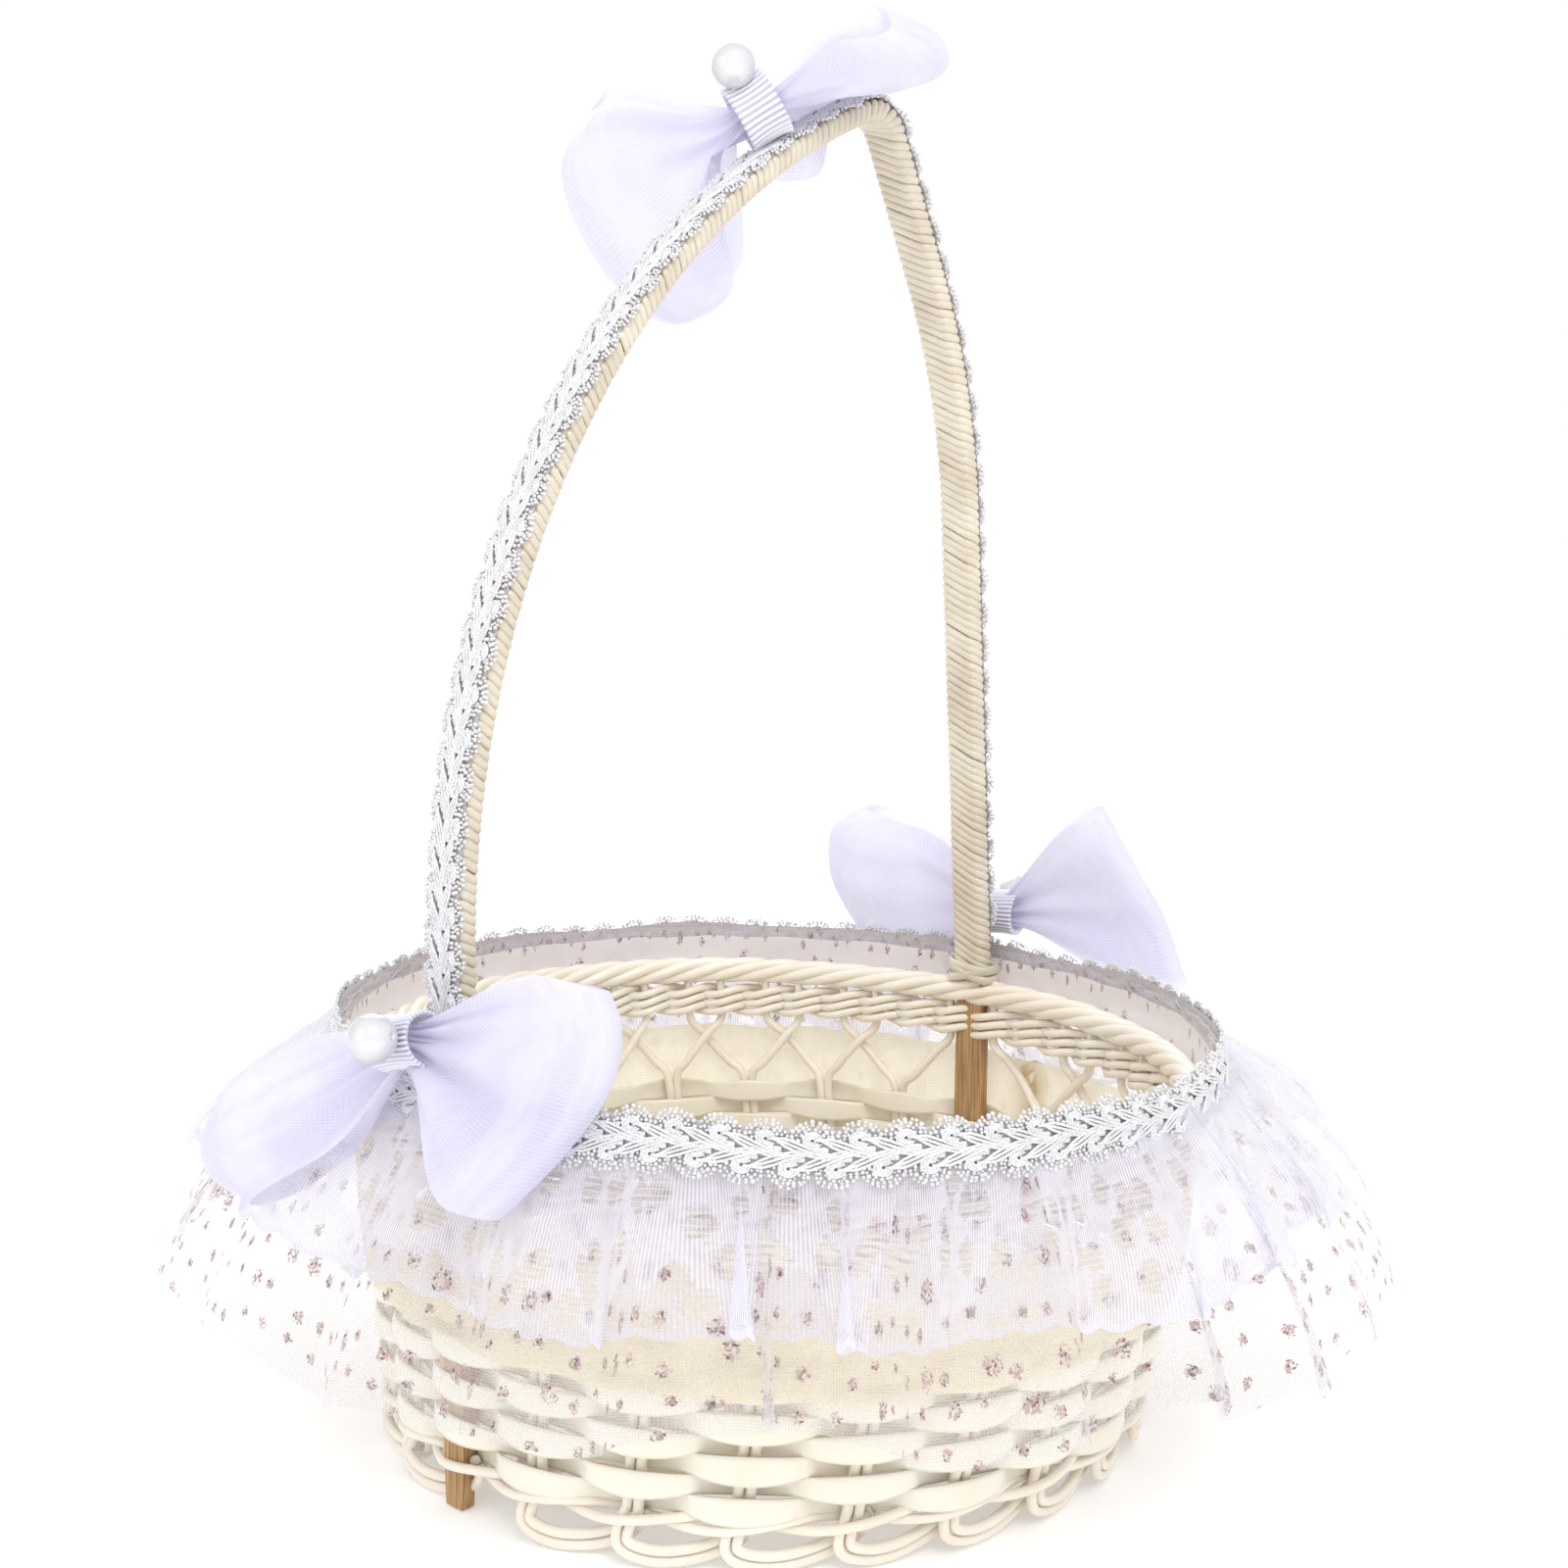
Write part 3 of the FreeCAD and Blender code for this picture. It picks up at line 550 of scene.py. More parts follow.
def make_stakes():
    """Pairs of upright canes that part above the strips and cross their neighbours."""
    build = Builder()
    for index in PAIRS:
        for side in (-1, 1):
            gap = side * PAIR_GAP
            points = []
            for height in (foot_high[2] - 1.5, 22.0, 34.0, 46.0, SPLIT_LOW):
                points.append(wall_point(ANGLES[index], height, 0.0, gap))
            sway = rng.uniform(-0.05, 0.05)
            for part in (0.25, 0.5, 0.75, 1.0):
                height = SPLIT_LOW + (SPLIT_HIGH - SPLIT_LOW) * part
                lean = CROSSING * part + sway * math.sin(math.pi * part)
                turn = phase_angle(index + side * lean)
                bulge = side * 1.6 * math.sin(math.pi * part)
                points.append(wall_point(turn, height, bulge, gap * (1 - part)))
            for height in (weaver_high[2], STAKE_TOP):
                points.append(wall_point(phase_angle(index + side * CROSSING), height))
            path = smooth_path(points, 40)
            sweep(build, path, path * (1, 1, 0), round_section(CANE_R))
    make_piece("stake_canes", build, "cane", "stake_pairs")


def make_strips():
    """Flat strips woven over and under, broad and crowned where they show."""
    build = Builder()
    pitch = (strip_high[2] - strip_low[2] - STRIP_WIDTH) / (STRIP_ROWS - 1)
    per = 10
    phase = np.arange(UPRIGHTS * per) / per
    angle = phase_angle(phase)
    across = np.array([-0.5, -0.36, -0.12, 0.12, 0.36, 0.5])
    for row in range(STRIP_ROWS):
        wave = np.cos(math.pi * (phase + row))
        lean = 0.35 * np.interp(phase, np.arange(UPRIGHTS + 1),
                                rng.uniform(-1, 1, UPRIGHTS + 1))
        height = strip_low[2] + STRIP_WIDTH / 2 + row * pitch + lean
        width = STRIP_WIDTH + 2.3 * np.abs(wave) ** 0.9 + 0.2 * rng.standard_normal()
        swing = 3.15 * np.sign(wave) * np.abs(wave) ** 0.8
        path = wall_point(angle, height, swing)
        outer = []
        for share in across:
            crown = 0.55 * (1 - (2 * share) ** 2) * np.where(wave > 0, 1.0, -0.4)
            outer.append(np.stack([crown + 0.35, share * width], -1))
        inner = [np.stack([item[:, 0] - 0.7, item[:, 1]], -1) for item in outer[::-1]]
        section = np.stack(outer + inner, 1)
        sweep(build, path, wall_out(angle, height), section, closed=True)
    make_piece("woven_strips", build, "flat_cane", "flat_strips")


def twined_row(build, height, cycles_per_upright, shift, swing, jitter):
    """Two round canes that wind about each other and hold the uprights between them."""
    per = 16 if cycles_per_upright > 0.6 else 12
    phase = np.arange(UPRIGHTS * per) / per
    angle = phase_angle(phase)
    drift = jitter * np.interp(phase, np.arange(UPRIGHTS + 1),
                               np.append(rng.uniform(-1, 1, UPRIGHTS), 0))
    drift[-per:] *= np.linspace(1, 0, per)
    drift[:per] *= np.linspace(0, 1, per)
    for sign in (-1, 1):
        turn = math.pi * (2 * cycles_per_upright * phase + shift)
        out = sign * swing * np.cos(turn)
        lift = sign * 1.25 * np.sin(turn)
        path = wall_point(angle, height + lift + drift, out)
        sweep(build, path, wall_out(angle, height + 0 * angle), round_section(WEAVER_R),
              closed=True)


def make_weavers():
    build = Builder()
    rows = 3
    for row in range(rows):
        height = weaver_low[2] + 1.5 + row * (weaver_high[2] - weaver_low[2] - 3.0) / (rows - 1)
        twined_row(build, height, 1.0, 0.5 + row, 2.9, 0.35)
    make_piece("upper_twining", build, "cane", "upper_weavers")
    build = Builder()
    twined_row(build, (foot_low[2] + foot_high[2]) / 2 + 0.4, 0.5, 0.0, 3.0, 0.2)
    make_piece("foot_twining", build, "cane", "foot_weavers")


def make_rope():
    """The rolled border: long canes laid round one another like a rope."""
    build = Builder()
    strands, turns, per = 5, 12, 18
    angle = TAU * np.arange(turns * per) / (turns * per)
    centre = WALL - ROPE_R
    for strand in range(strands):
        lay = turns * angle + TAU * strand / strands
        wobble = 0.25 * np.sin(5 * angle + strand)
        reach = ROPE_R - 1.65 + wobble
        path = wall_point(angle, centre + reach * np.sin(lay), reach * np.cos(lay))
        sweep(build, path, wall_out(angle, centre + 0 * angle), round_section(1.75, 9),
              closed=True)
    make_piece("rope_rim", build, "cane", "rim_rope")


LOOP_PATH = np.array([
    # along the wall, height, out
    (0.0, 13.0, 0.0), (-1.4, 8.8, 1.6), (-0.6, 5.2, 2.9), (5.0, 3.2, 2.6),
    (12.0, 2.9, 1.4), (20.0, 4.0, -0.9), (26.5, 7.2, -1.9), (31.0, 12.6, -0.5),
])


def make_loops():
    """Foot border: each pair of stake ends bent into a loop behind the next one."""
    build = Builder()
    for index in PAIRS:
        stretch = rng.uniform(0.94, 1.04)
        for side in (-1, 1):
            base = smooth_path(LOOP_PATH * (stretch, 1, 1), 28)
            step = np.gradient(base[:, :2], axis=0)
            step = step / np.linalg.norm(step, axis=1, keepdims=True)
            shift = side * (CANE_R + 0.03)
            height = np.maximum(base[:, 1] + shift * step[:, 0], CANE_R)
            path = wall_point(ANGLES[index] + 0 * height, height, base[:, 2],
                              base[:, 0] - shift * step[:, 1])
            sweep(build, path, path * (1, 1, 0), round_section(CANE_R))
    make_piece("foot_loops", build, "cane", "foot_loop_border")


def make_base():
    """Round canes woven in rings over and under the base sticks."""
    low, high = node_box("base_weave")
    build = Builder()
    angle = TAU * np.arange(192) / 192
    middle = (low[2] + high[2]) / 2
    for number in range(22):
        wave = 0.7 * np.cos(12 * angle + math.pi * number)
        path = wall_point(angle, low[2] + 0 * angle, -6.6 - 4.0 * number)
        path[:, 2] = middle + wave
        sweep(build, path, np.tile((0.0, 0.0, 1.0), (len(angle), 1)),
              round_section(1.55, 7, 0.75), closed=True)
    make_piece("base_rounds", build, "cane", "base_weave")


# ---- handle line
# the -X leg rises straight to SPRING, bows over, and bends tightly at the top; the +X leg
# leaves the bend at a slope, bows down and ends with a slight lean (degrees and millimetres)
BOW_RADIUS, BOW_TURN, BEND_RADIUS = 238.0, 68.0, 10.0
FAR_SLOPE, FAR_RADIUS, FAR_LEAN = 63.0, 190.0, 4.5
BOW_RISE = 223.4
SPRING = slat_high[2] - BOW_RISE


def arc_points(centre, radius, first, last, step=1.0):
    count = max(int(abs(math.radians(last - first)) * radius / step), 6)
    turn = np.radians(np.linspace(first, last, count))
    return np.stack([centre[0] + radius * np.cos(turn), centre[1] + radius * np.sin(turn)], -1)


def handle_line(low):
    """Middle line of the slat in its plane, from height low on the -X leg to the +X leg."""
    centre = np.array([-RIM_X + BOW_RADIUS, SPRING])
    rise = arc_points(centre, BOW_RADIUS, 180, 180 - BOW_TURN)
    bend = rise[-1] - BEND_RADIUS * polar(180 - BOW_TURN)
    leave = 90 - FAR_SLOPE
    top = arc_points(bend, BEND_RADIUS, 180 - BOW_TURN, leave, 0.8)
    slope, leg = polar(leave - 90), polar(FAR_LEAN - 90)
    span, drop = FAR_RADIUS * (polar(FAR_LEAN) - polar(leave))
    span = RIM_X - top[-1][0] - span
    fall = top[-1][1] - WALL + drop
    along = (span * -leg[1] - fall * leg[0]) / (slope[0] * -leg[1] + slope[1] * leg[0])
    start = top[-1] + slope * along
    hub = start - FAR_RADIUS * polar(leave)
    far = arc_points(hub, FAR_RADIUS, leave, FAR_LEAN)
    foot = far[-1] + leg * (far[-1][1] - low) / -leg[1]
    line = np.concatenate([[(-RIM_X, low)], rise, top[1:], [start], far[1:], [foot]])
    length = np.append(0, np.cumsum(np.linalg.norm(np.diff(line, axis=0), axis=1)))
    keep = np.append(True, np.diff(length) > 1e-6)
    return line[keep], length[keep]


def handle_frame(line, length, at):
    """Point, outward normal and tangent of the slat at a distance along it."""
    at = np.asarray(at, float)
    x = np.interp(at, length, line[:, 0])
    z = np.interp(at, length, line[:, 1])
    ahead, behind = at + 1.5, at - 1.5
    dx = np.interp(ahead, length, line[:, 0]) - np.interp(behind, length, line[:, 0])
    dz = np.interp(ahead, length, line[:, 1]) - np.interp(behind, length, line[:, 1])
    tangent = unit(np.stack([dx, 0 * dx, dz], -1))
    normal = np.stack([-tangent[..., 2], 0 * dx, tangent[..., 0]], -1)
    return np.stack([x, 0 * x + HANDLE_Y, z], -1), normal, tangent


def boxy(turn, half_n, half_y, power, power_y=None):
    """A rounded rectangle: sines and cosines raised to a small power."""
    cos, sin = np.cos(turn), np.sin(turn)
    return (half_n * np.sign(cos) * np.abs(cos) ** power,
            half_y * np.sign(sin) * np.abs(sin) ** (power_y or power))


def make_wrap():
    """Flat canes wound side by side round the slat, each lapping the one below."""
    build = Builder()
    line, length = handle_line(WALL + 1.0)
    pitch, starts, per, squash = 2.55, 5, 36, 0.42
    lead = pitch * starts
    half_n, half_y = SLAT_HALF_N + 0.35, SLAT_HALF_Y + 0.35
    # even steps round the slat, so that the canes slant evenly
    fine = np.linspace(0, TAU, 1441)
    edge_n, edge_y = boxy(fine, half_n, half_y, squash)
    round_it = np.append(0, np.cumsum(np.hypot(np.diff(edge_n), np.diff(edge_y))))
    t = np.arange(int(length[-1] / lead * per)) / per
    turn = np.interp(t % 1, round_it / round_it[-1], fine) + 1e-4
    pn, py = boxy(turn, half_n, half_y, squash)
    gn, gy = boxy(turn, 1 / half_n, 1 / half_y, 2 - squash)
    side = np.array([0.0, 1.0, 0.0])
    across = np.array([-0.5, -0.3, 0.0, 0.3, 0.5])
    width = pitch * 1.04
    crown = 0.05 + 0.72 * (1 - (2 * across) ** 2) + 0.25 * (0.5 - across)
    top = np.stack([crown, across * width], -1)
    under = np.array([[-0.1, 0.46 * width], [-0.1, -0.46 * width]])
    for start in range(starts):
        wobble = 0.16 * np.sin(t * 1.7 + start) + 0.12 * np.sin(t * 4.1 + 2 * start)
        at = np.clip(lead * t + start * pitch + wobble, 0, length[-1])
        point, normal, _ = handle_frame(line, length, at)
        path = point + normal * pn[:, None] + side * py[:, None]
        out = unit(normal * gn[:, None] + side * gy[:, None])
        sweep(build, path, out, np.concatenate([top, under]))
    make_piece("wound_cane", build, "cane_wrap", "handle_cane_wrap")


def make_lashings():
    """Three flat turns of cane round each leg at the rim."""
    build = Builder()
    low, high = node_box("leg_lashings")
    for side in (-1, 1):
        for tilt, lift in ((0.30, 1.2), (-0.26, 0.4), (0.12, 3.0)):
            turn = TAU * np.arange(40) / 40
            x, y = boxy(turn, 4.6, 7.4, 0.55, 0.65)
            z = (low[2] + high[2]) / 2 + lift + tilt * y * side
            path = np.stack([side * RIM_X + x, HANDLE_Y + y, z], -1)
            normals = np.stack([x, y, 0 * x], -1)
            section = round_section(1.5, 8) * (0.55, 1.0)
            sweep(build, path, normals, section, closed=True)
    make_piece("leg_ties", build, "cane_wrap", "leg_lashings")


# ---- gimp braid
BRAID_PITCH = 10.6  # from one leaf of the gimp to the next


def bead_mesh():
    """A regular twenty-sided bead: corners on the unit sphere and its faces."""
    golden = (1 + 5 ** 0.5) / 2
    corners = []
    for a in (-1, 1):
        for b in (-golden, golden):
            corners += [(0, a, b), (a, b, 0), (b, 0, a)]
    corners = unit(np.array(corners, float))
    faces = []
    for i, j, k in itertools.combinations(range(12), 3):
        a, b, c = corners[[i, j, k]]
        if max(np.linalg.norm(a - b), np.linalg.norm(b - c), np.linalg.norm(c - a)) < 1.1:
            outward = np.dot(np.cross(b - a, c - a), a + b + c) >= 0
            faces.append((i, j, k) if outward else (i, k, j))
    return corners, faces


BEAD, BEAD_FACES = bead_mesh()


def braid_motif(side, strand):
    """One satin cord of a leaf: a long tail down the middle, then out into a comma curl."""
    curl = 1.75 - 0.55 * strand
    middle = np.array([0.28 * BRAID_PITCH, 3.2])
    tail = [(-1.55, -1.5, 0.30), (-1.1, -1.1, 0.55), (-0.6, -0.1, 0.85), (-0.18, 1.5, 0.95)]
    lead = [(x * BRAID_PITCH, y + spread * strand) for x, y, spread in tail]
    turn = np.linspace(math.pi * 0.98, -math.pi * 0.85, 10)
    loop = middle + curl * np.stack([1.2 * np.cos(turn), np.sin(turn)], -1)
    points = np.concatenate([np.array(lead), loop])
    points[:, 1] *= side
    return points


def make_braid(name, place, length, closed, node, heading):
    """Scroll gimp: leaves of satin cord each side of a middle line, beaded scallops outside.

    place(s, w, lift) gives points at distance s along, w across and lift off the surface.
    heading is the way along s that the curls point.
    """
    motifs = int(round(length / BRAID_PITCH))
    pitch = length / motifs
    # a tape under the cords, darker than them as painted shade between the cords
    back = Builder()
    tape_s = np.linspace(0, length, motifs * 8 + 1)[: motifs * 8 + (0 if closed else 1)]
    tape_w = np.array([-5.4, -2.0, 0.0, 2.0, 5.4])
    grid = place(tape_s[:, None] + 0 * tape_w, tape_w + 0 * tape_s[:, None], 0.15)
    back.add(grid, grid_faces(len(tape_s), len(tape_w), closed))
    make_piece(name + "_backing", back, "braid_backing_painted_shade", node)
    build = Builder()
    for number in range(motifs):
        for side in (-1, 1):
            origin = (number + (0.5 if side > 0 else 0.0)) * pitch + 0.5 * pitch
            if not closed and not pitch * 0.6 < origin < length - pitch * 0.6:
                continue
            for strand in range(3):
                points = smooth_path(braid_motif(side, strand), 22)
                rise = np.linspace(0, 1, 22)
                lift = 0.45 + 0.75 * np.sin(math.pi * rise ** 0.8) + 0.10 * strand
                along = origin + heading * points[:, 0]
                path = place(along, points[:, 1], lift)
                above = place(along, points[:, 1], lift + 1.0)
                sweep(build, path, above - path, round_section(0.38, 6), capped=False)
            for reach, beads in ((1.0, 13), (0.76, 11), (0.50, 8)):
                turn = np.linspace(-0.3, math.pi + 0.3, beads)
                s = origin + heading * 0.28 * pitch + reach * 4.6 * np.cos(turn)
                w = side * (4.0 + reach * 3.3 * np.sin(turn))
                s = s + rng.uniform(-0.25, 0.25, beads)
                w = w + rng.uniform(-0.2, 0.2, beads)
                for centre in place(s, w, 0.6 + rng.uniform(0, 0.6, beads)):
                    build.add(centre + BEAD * rng.uniform(0.42, 0.66), BEAD_FACES)
    make_piece(name, build, "braid", node)


def make_handle_braid():
    line, length = handle_line(WALL + 9.0)
    face = SLAT_HALF_N + 1.35

    def place(s, w, lift):
        point, normal, tangent = handle_frame(line, length, np.clip(s, 0, length[-1]))
        wrap = 0.035 * np.asarray(w) ** 2
        return (point + normal * np.expand_dims(face + lift - wrap * 0.5, -1)
                + np.expand_dims(np.asarray(w, float), -1) * np.array([0.0, 1.0, 0.0]))

    make_braid("handle_gimp", place, length[-1], False, "handle_braid", 1)


def make_rim_braid():
    angle = np.linspace(0, TAU, 721)
    mid = wall_point(angle, WALL + 0 * angle, 9.5)
    arc = np.append(0, np.cumsum(np.linalg.norm(np.diff(mid, axis=0), axis=1)))
    centre_z = (braid_low[2] + braid_high[2]) / 2
    lean = math.radians(14)

    def place(s, w, lift):
        s = np.asarray(s, float)
        turn = np.interp(np.mod(s, arc[-1]), arc, angle)
        w = np.asarray(w, float) + 0 * turn
        wave = 0.5 * np.sin(9 * turn) + 0.4 * np.sin(14 * turn + 1)
        out = 9.3 - w * math.sin(lean) + lift * math.cos(lean)
        height = centre_z + wave + w * math.cos(lean) + lift * math.sin(lean)
        point = wall_point(turn, WALL + 0 * turn, out)
        point[..., 2] = height
        return point

    make_braid("rim_gimp", place, arc[-1], True, "rim_braid", -1)


# ---- cloth round the rim
FLARE_ANGLE = math.radians(133)  # where the ruffles reach out the most, and opposite


def fold_phase(angle, count, seed):
    """Counts folds round the rim with uneven widths."""
    local = np.random.default_rng(seed)
    phase = count * angle
    for harmonic in range(2, 8):
        phase = phase + local.uniform(0.15, 0.75) * np.sin(harmonic * angle + local.uniform(0, 6))
    return phase


def make_skirt(name, top, head, lengths, reaches, folds, depth, seed, scallop):
    """A gathered ruffle: small tucks at the heading that open into deep folds at the hem."""
    around, down = 1500, 30
    angle = (TAU * np.arange(around) / around)[:, None]
    fall = np.linspace(0, 1, down)[None, :]
    wide = (0.5 + 0.5 * np.cos(2 * (angle - FLARE_ANGLE))) ** 1.3
    local = np.random.default_rng(seed + 50)
    uneven = sum(local.uniform(0.4, 1.0) * np.sin(k * angle + local.uniform(0, 6))
                 for k in (3, 5, 8, 11))
    main = fold_phase(angle, folds, seed)
    tucks = fold_phase(angle, folds * 3 + 7, seed + 9)
    wave = np.sin(main + 0.45 * np.sin(main))
    length = lengths[0] + (lengths[1] - lengths[0]) * wide + 2.2 * uneven
    length = length + scallop * (np.abs(np.sin(2.5 * main)) - 0.7)
    reach = reaches[0] + (reaches[1] - reaches[0]) * wide + 1.4 * uneven
    bow = fall * (1 + 0.20 * np.sin(math.pi * fall))
    drop = np.sqrt(np.maximum(length ** 2 - reach ** 2, 100))
    drift = fold_phase(angle, 7, seed + 2)
    amount = depth * (1 + 0.35 * np.sin(drift))
    out = head + reach * bow + 0.6 * amount * (0.12 + 0.88 * fall) * wave
    out = out + 0.7 * np.sin(tucks) * (1 - fall) ** 1.5
    side = amount * (0.35 + 0.65 * fall) * np.cos(main) + 2.5 * fall * np.sin(drift)
    point = wall_point(angle + 0 * fall, WALL + 0 * fall + 0 * angle,
                       np.maximum(out, head - 1.5), side)
    point[..., 2] = top - drop * fall + (1.2 * wave + 1.5 * np.sin(drift)) * fall
    cloth = stacked(angle * 245.0, fall * length, fall)
    build = Builder()
    build.add(point, grid_faces(around, down, True), cloth)
    kind = name.split("_")[0]
    make_piece(name, build, kind, kind + "_ruffle")


def make_ruffles():
    make_skirt("lace_frill", braid_high[2] - 4.0, 7.4, (46.0, 53.0), (12.0, 40.0),
               29, 5.6, 4, 1.6)
    make_skirt("organza_frill", braid_high[2] - 2.5, 5.8, (72.0, 86.0), (19.0, 51.0),
               25, 5.0, 11, 0.0)


def make_band(name, low, high, out, material, node, ripple, seed):
    """A ribbon round the wall between two heights, with shallow creases."""
    columns, rows = 480, 9
    build = Builder()
    angle = (TAU * np.arange(columns) / columns)[:, None]
    rise = np.linspace(0, 1, rows)[None, :]
    phase = fold_phase(angle, 40, seed)
    crease = fold_phase(angle, 23, seed + 3)
    shift = ripple * (0.5 * np.sin(phase + 2.0 * rise) + 0.5 * np.sin(crease - 3.0 * rise))
    height = low + (high - low) * rise + 0.5 * ripple * np.sin(crease)
    point = wall_point(angle + 0 * rise, height, out + np.abs(shift))
    cloth = stacked(angle * 225.0, (high - low) * rise, rise)
    build.add(point, grid_faces(columns, rows, True), cloth)
    make_piece(name, build, material, node)


FLAT_SECTION = np.array([(-1, -1), (-1, 1), (1, 1), (1, -1)])


def make_sash_knot():
    """A small gold loop of ribbon with two short ends."""
    low, high = node_box("sash_knot")
    centre = (low + high) / 2
    angle = math.atan2(centre[1] / RIM_Y, centre[0] / RIM_X)
    outward = wall_out(np.array(angle), np.array(centre[2]))
    along = np.array([-outward[1], outward[0], 0.0])
    up = np.array([0.0, 0.0, 1.0])
    build = Builder()
    turn = TAU * np.arange(36) / 36
    for radius, flat, shift, tilt in ((5.4, 0.75, 0.0, 0.2), (4.2, 0.6, -1.2, -0.5)):
        path = (centre + shift * outward
                + along * (radius * np.cos(turn) * flat + radius * tilt * np.sin(turn))[:, None]
                + up * (radius * np.sin(turn))[:, None])
        normals = path - centre
        sweep(build, path, normals, FLAT_SECTION * (0.25, 1.7), closed=True)
    for lean in (-0.5, 0.35):
        t = np.linspace(0, 1, 14)
        path = (centre - up * (4.0 + 17 * t)[:, None] + along * (lean * 12 * t)[:, None]
                + outward * (1.0 * np.sin(5 * t))[:, None])
        sweep(build, path, np.tile(outward, (14, 1)), FLAT_SECTION * (0.2, 2.2))
    make_piece("gold_knot", build, "gold_satin", "sash_knot")


# ---- bows
GATHER = 4.6        # half width of the ribbon where the knot squeezes it
DRAPE_HEIGHT = 8.2  # how far off the slat's middle line a draped ribbon lies


def smoothstep(x):
    x = np.clip(x, 0, 1)
    return x * x * (3 - 2 * x)


def draped(points, spread):
    """Lifts points onto the outside of the braided slat where they would pass through it.

    spread is how far past the slat's edges the lift fades out.
    """
    line, _ = handle_line(WALL)
    flat = points.reshape(-1, 3)
    gap = flat[:, None, ::2] - line[None]
    nearest = np.argmin((gap ** 2).sum(-1), 1)
    offset = gap[np.arange(len(flat)), nearest]
    ahead = unit(np.gradient(line, axis=0))[nearest]
    normal = np.stack([-ahead[:, 1], ahead[:, 0]], -1)
    height = (offset * normal).sum(-1)
    aside = np.abs(flat[:, 1] - HANDLE_Y)
    share = 1 - smoothstep((aside - 8.5) / spread)
    lift = np.maximum(DRAPE_HEIGHT - height, 0) * share * (height > -45.0)
    moved = flat.copy()
    moved[:, ::2] += normal * lift[:, None]
    return moved.reshape(points.shape)


def ribbon_loop(middle, outward, look):
    """One wing: ribbon that runs out to a fold and back, gathered small at the knot.

    look's fold is the line of the outer fold, top to bottom, from the middle of the knot.
    """
    along_steps, across_steps = 90, 41
    fold = smooth_path(look["fold"], across_steps)[::-1]
    aim = unit(fold.mean(0))
    edge = fold[-1] - fold[0]
    edge = unit(edge - (edge @ aim) * aim)
    normal = np.cross(aim, edge)
    normal = normal * np.sign(normal @ outward)
    reach = fold @ aim
    aside = fold - reach[:, None] * aim
    u = np.linspace(0, 1, along_steps)[:, None]
    v = np.linspace(-1, 1, across_steps)[None, :]
    out = 1 - np.abs(2 * u - 1) ** 2.2
    layer = np.sin(TAU * u)
    grow = smoothstep(out / look["fan"]) ** look["pinch"]
    z = look["open"] * layer * (0.55 + 0.45 * out)
    z = z + look["curl"] * out * v ** 2
    phase = look["phase"]
    pleats = 1 - smoothstep(out / 0.75)
    z = z + 1.5 * np.cos(3.3 * math.pi * v + phase) * pleats * np.sign(0.5 - u)
    rays = np.sin(6.5 * v + phase) + 0.6 * np.sin(11 * v + 2 * phase)
    z = z + look["crease"] * rays * np.sin(math.pi * out) * (1 + 0.4 * layer)
    sag = np.sin(2.6 * v + 5 * out + phase) * out ** 2
    z = z + 0.9 * look["crease"] * sag
    spread = aside * grow[..., None] + (1 - grow)[..., None] * GATHER * v[..., None] * edge
    placed = middle + (reach * out)[..., None] * aim + spread + z[..., None] * normal
    cloth = stacked(np.abs(u - 0.5) * 120, v * 32, 0.0)
    if look["drape"]:
        placed = draped(placed, look["drape"])
    return placed, grid_faces(along_steps, across_steps), cloth


def make_bow(prefix, looks):
    """Two ribbon loops, a ribbed knot and a pearl. looks holds one dict a wing."""
    low, high = node_box(prefix + "_knot")
    middle = (low + high) / 2
    low, high = node_box(prefix + "_pearl")
    pearl_centre, pearl_radius = (low + high) / 2, (high - low).max() / 2
    outward = unit(pearl_centre - middle)
    build = Builder()
    for look in looks:
        build.add(*ribbon_loop(middle, outward, look))
    make_piece(prefix + "_loops", build, "bow_ribbon", prefix + "_ribbon")

    # the knot's hole runs along the wings
    first, second = [np.mean(look["fold"], 0) for look in looks]
    wing = unit(first) - unit(second)
    wing = unit(wing - outward * (wing @ outward))
    axes = np.stack([wing, np.cross(outward, wing), outward])
    build = Builder()
    ribs, per = 32, 8
    turn = TAU * np.arange(ribs * per) / (ribs * per)
    steps = np.linspace(-6.0, 6.0, 13)
    rows = []
    for inner in (False, True):
        for step in (steps[::-1] if inner else steps):
            ridge = 0.0 if inner else 0.40 * np.cos(ribs * turn)
            flare = 0.6 * (step / 6.0) ** 2
            radius = (6.2 if inner else 7.1) + ridge + flare
            rows.append(stacked(step, radius * 0.88 * np.cos(turn),
                                radius * 1.22 * np.sin(turn)))
    world = middle + np.stack(rows, 1) @ axes
    ribbing = np.zeros(world.shape)
    ribbing[..., 0] = (ribs * turn / TAU)[:, None]
    build.add(world, grid_faces(world.shape[0], world.shape[1], True, True), ribbing)
    make_piece(prefix + "_wrap", build, "knot_ribbon", prefix + "_knot")

    # the pearl is drilled along the wings
    build = Builder()
    down = np.linspace(0.0, math.pi, 49)[:, None]
    around = (TAU * np.arange(64) / 64)[None, :]
    hole = 1 - 0.16 * np.exp(-(np.sin(down) / 0.11) ** 2)
    ball = stacked(np.cos(down) * hole, np.sin(down) * np.cos(around) * hole,
                   np.sin(down) * np.sin(around) * hole)
    build.add(pearl_centre + pearl_radius * ball @ axes, grid_faces(49, 64, False, True))
    make_piece(prefix + "_bead", build, "pearl", prefix + "_pearl")


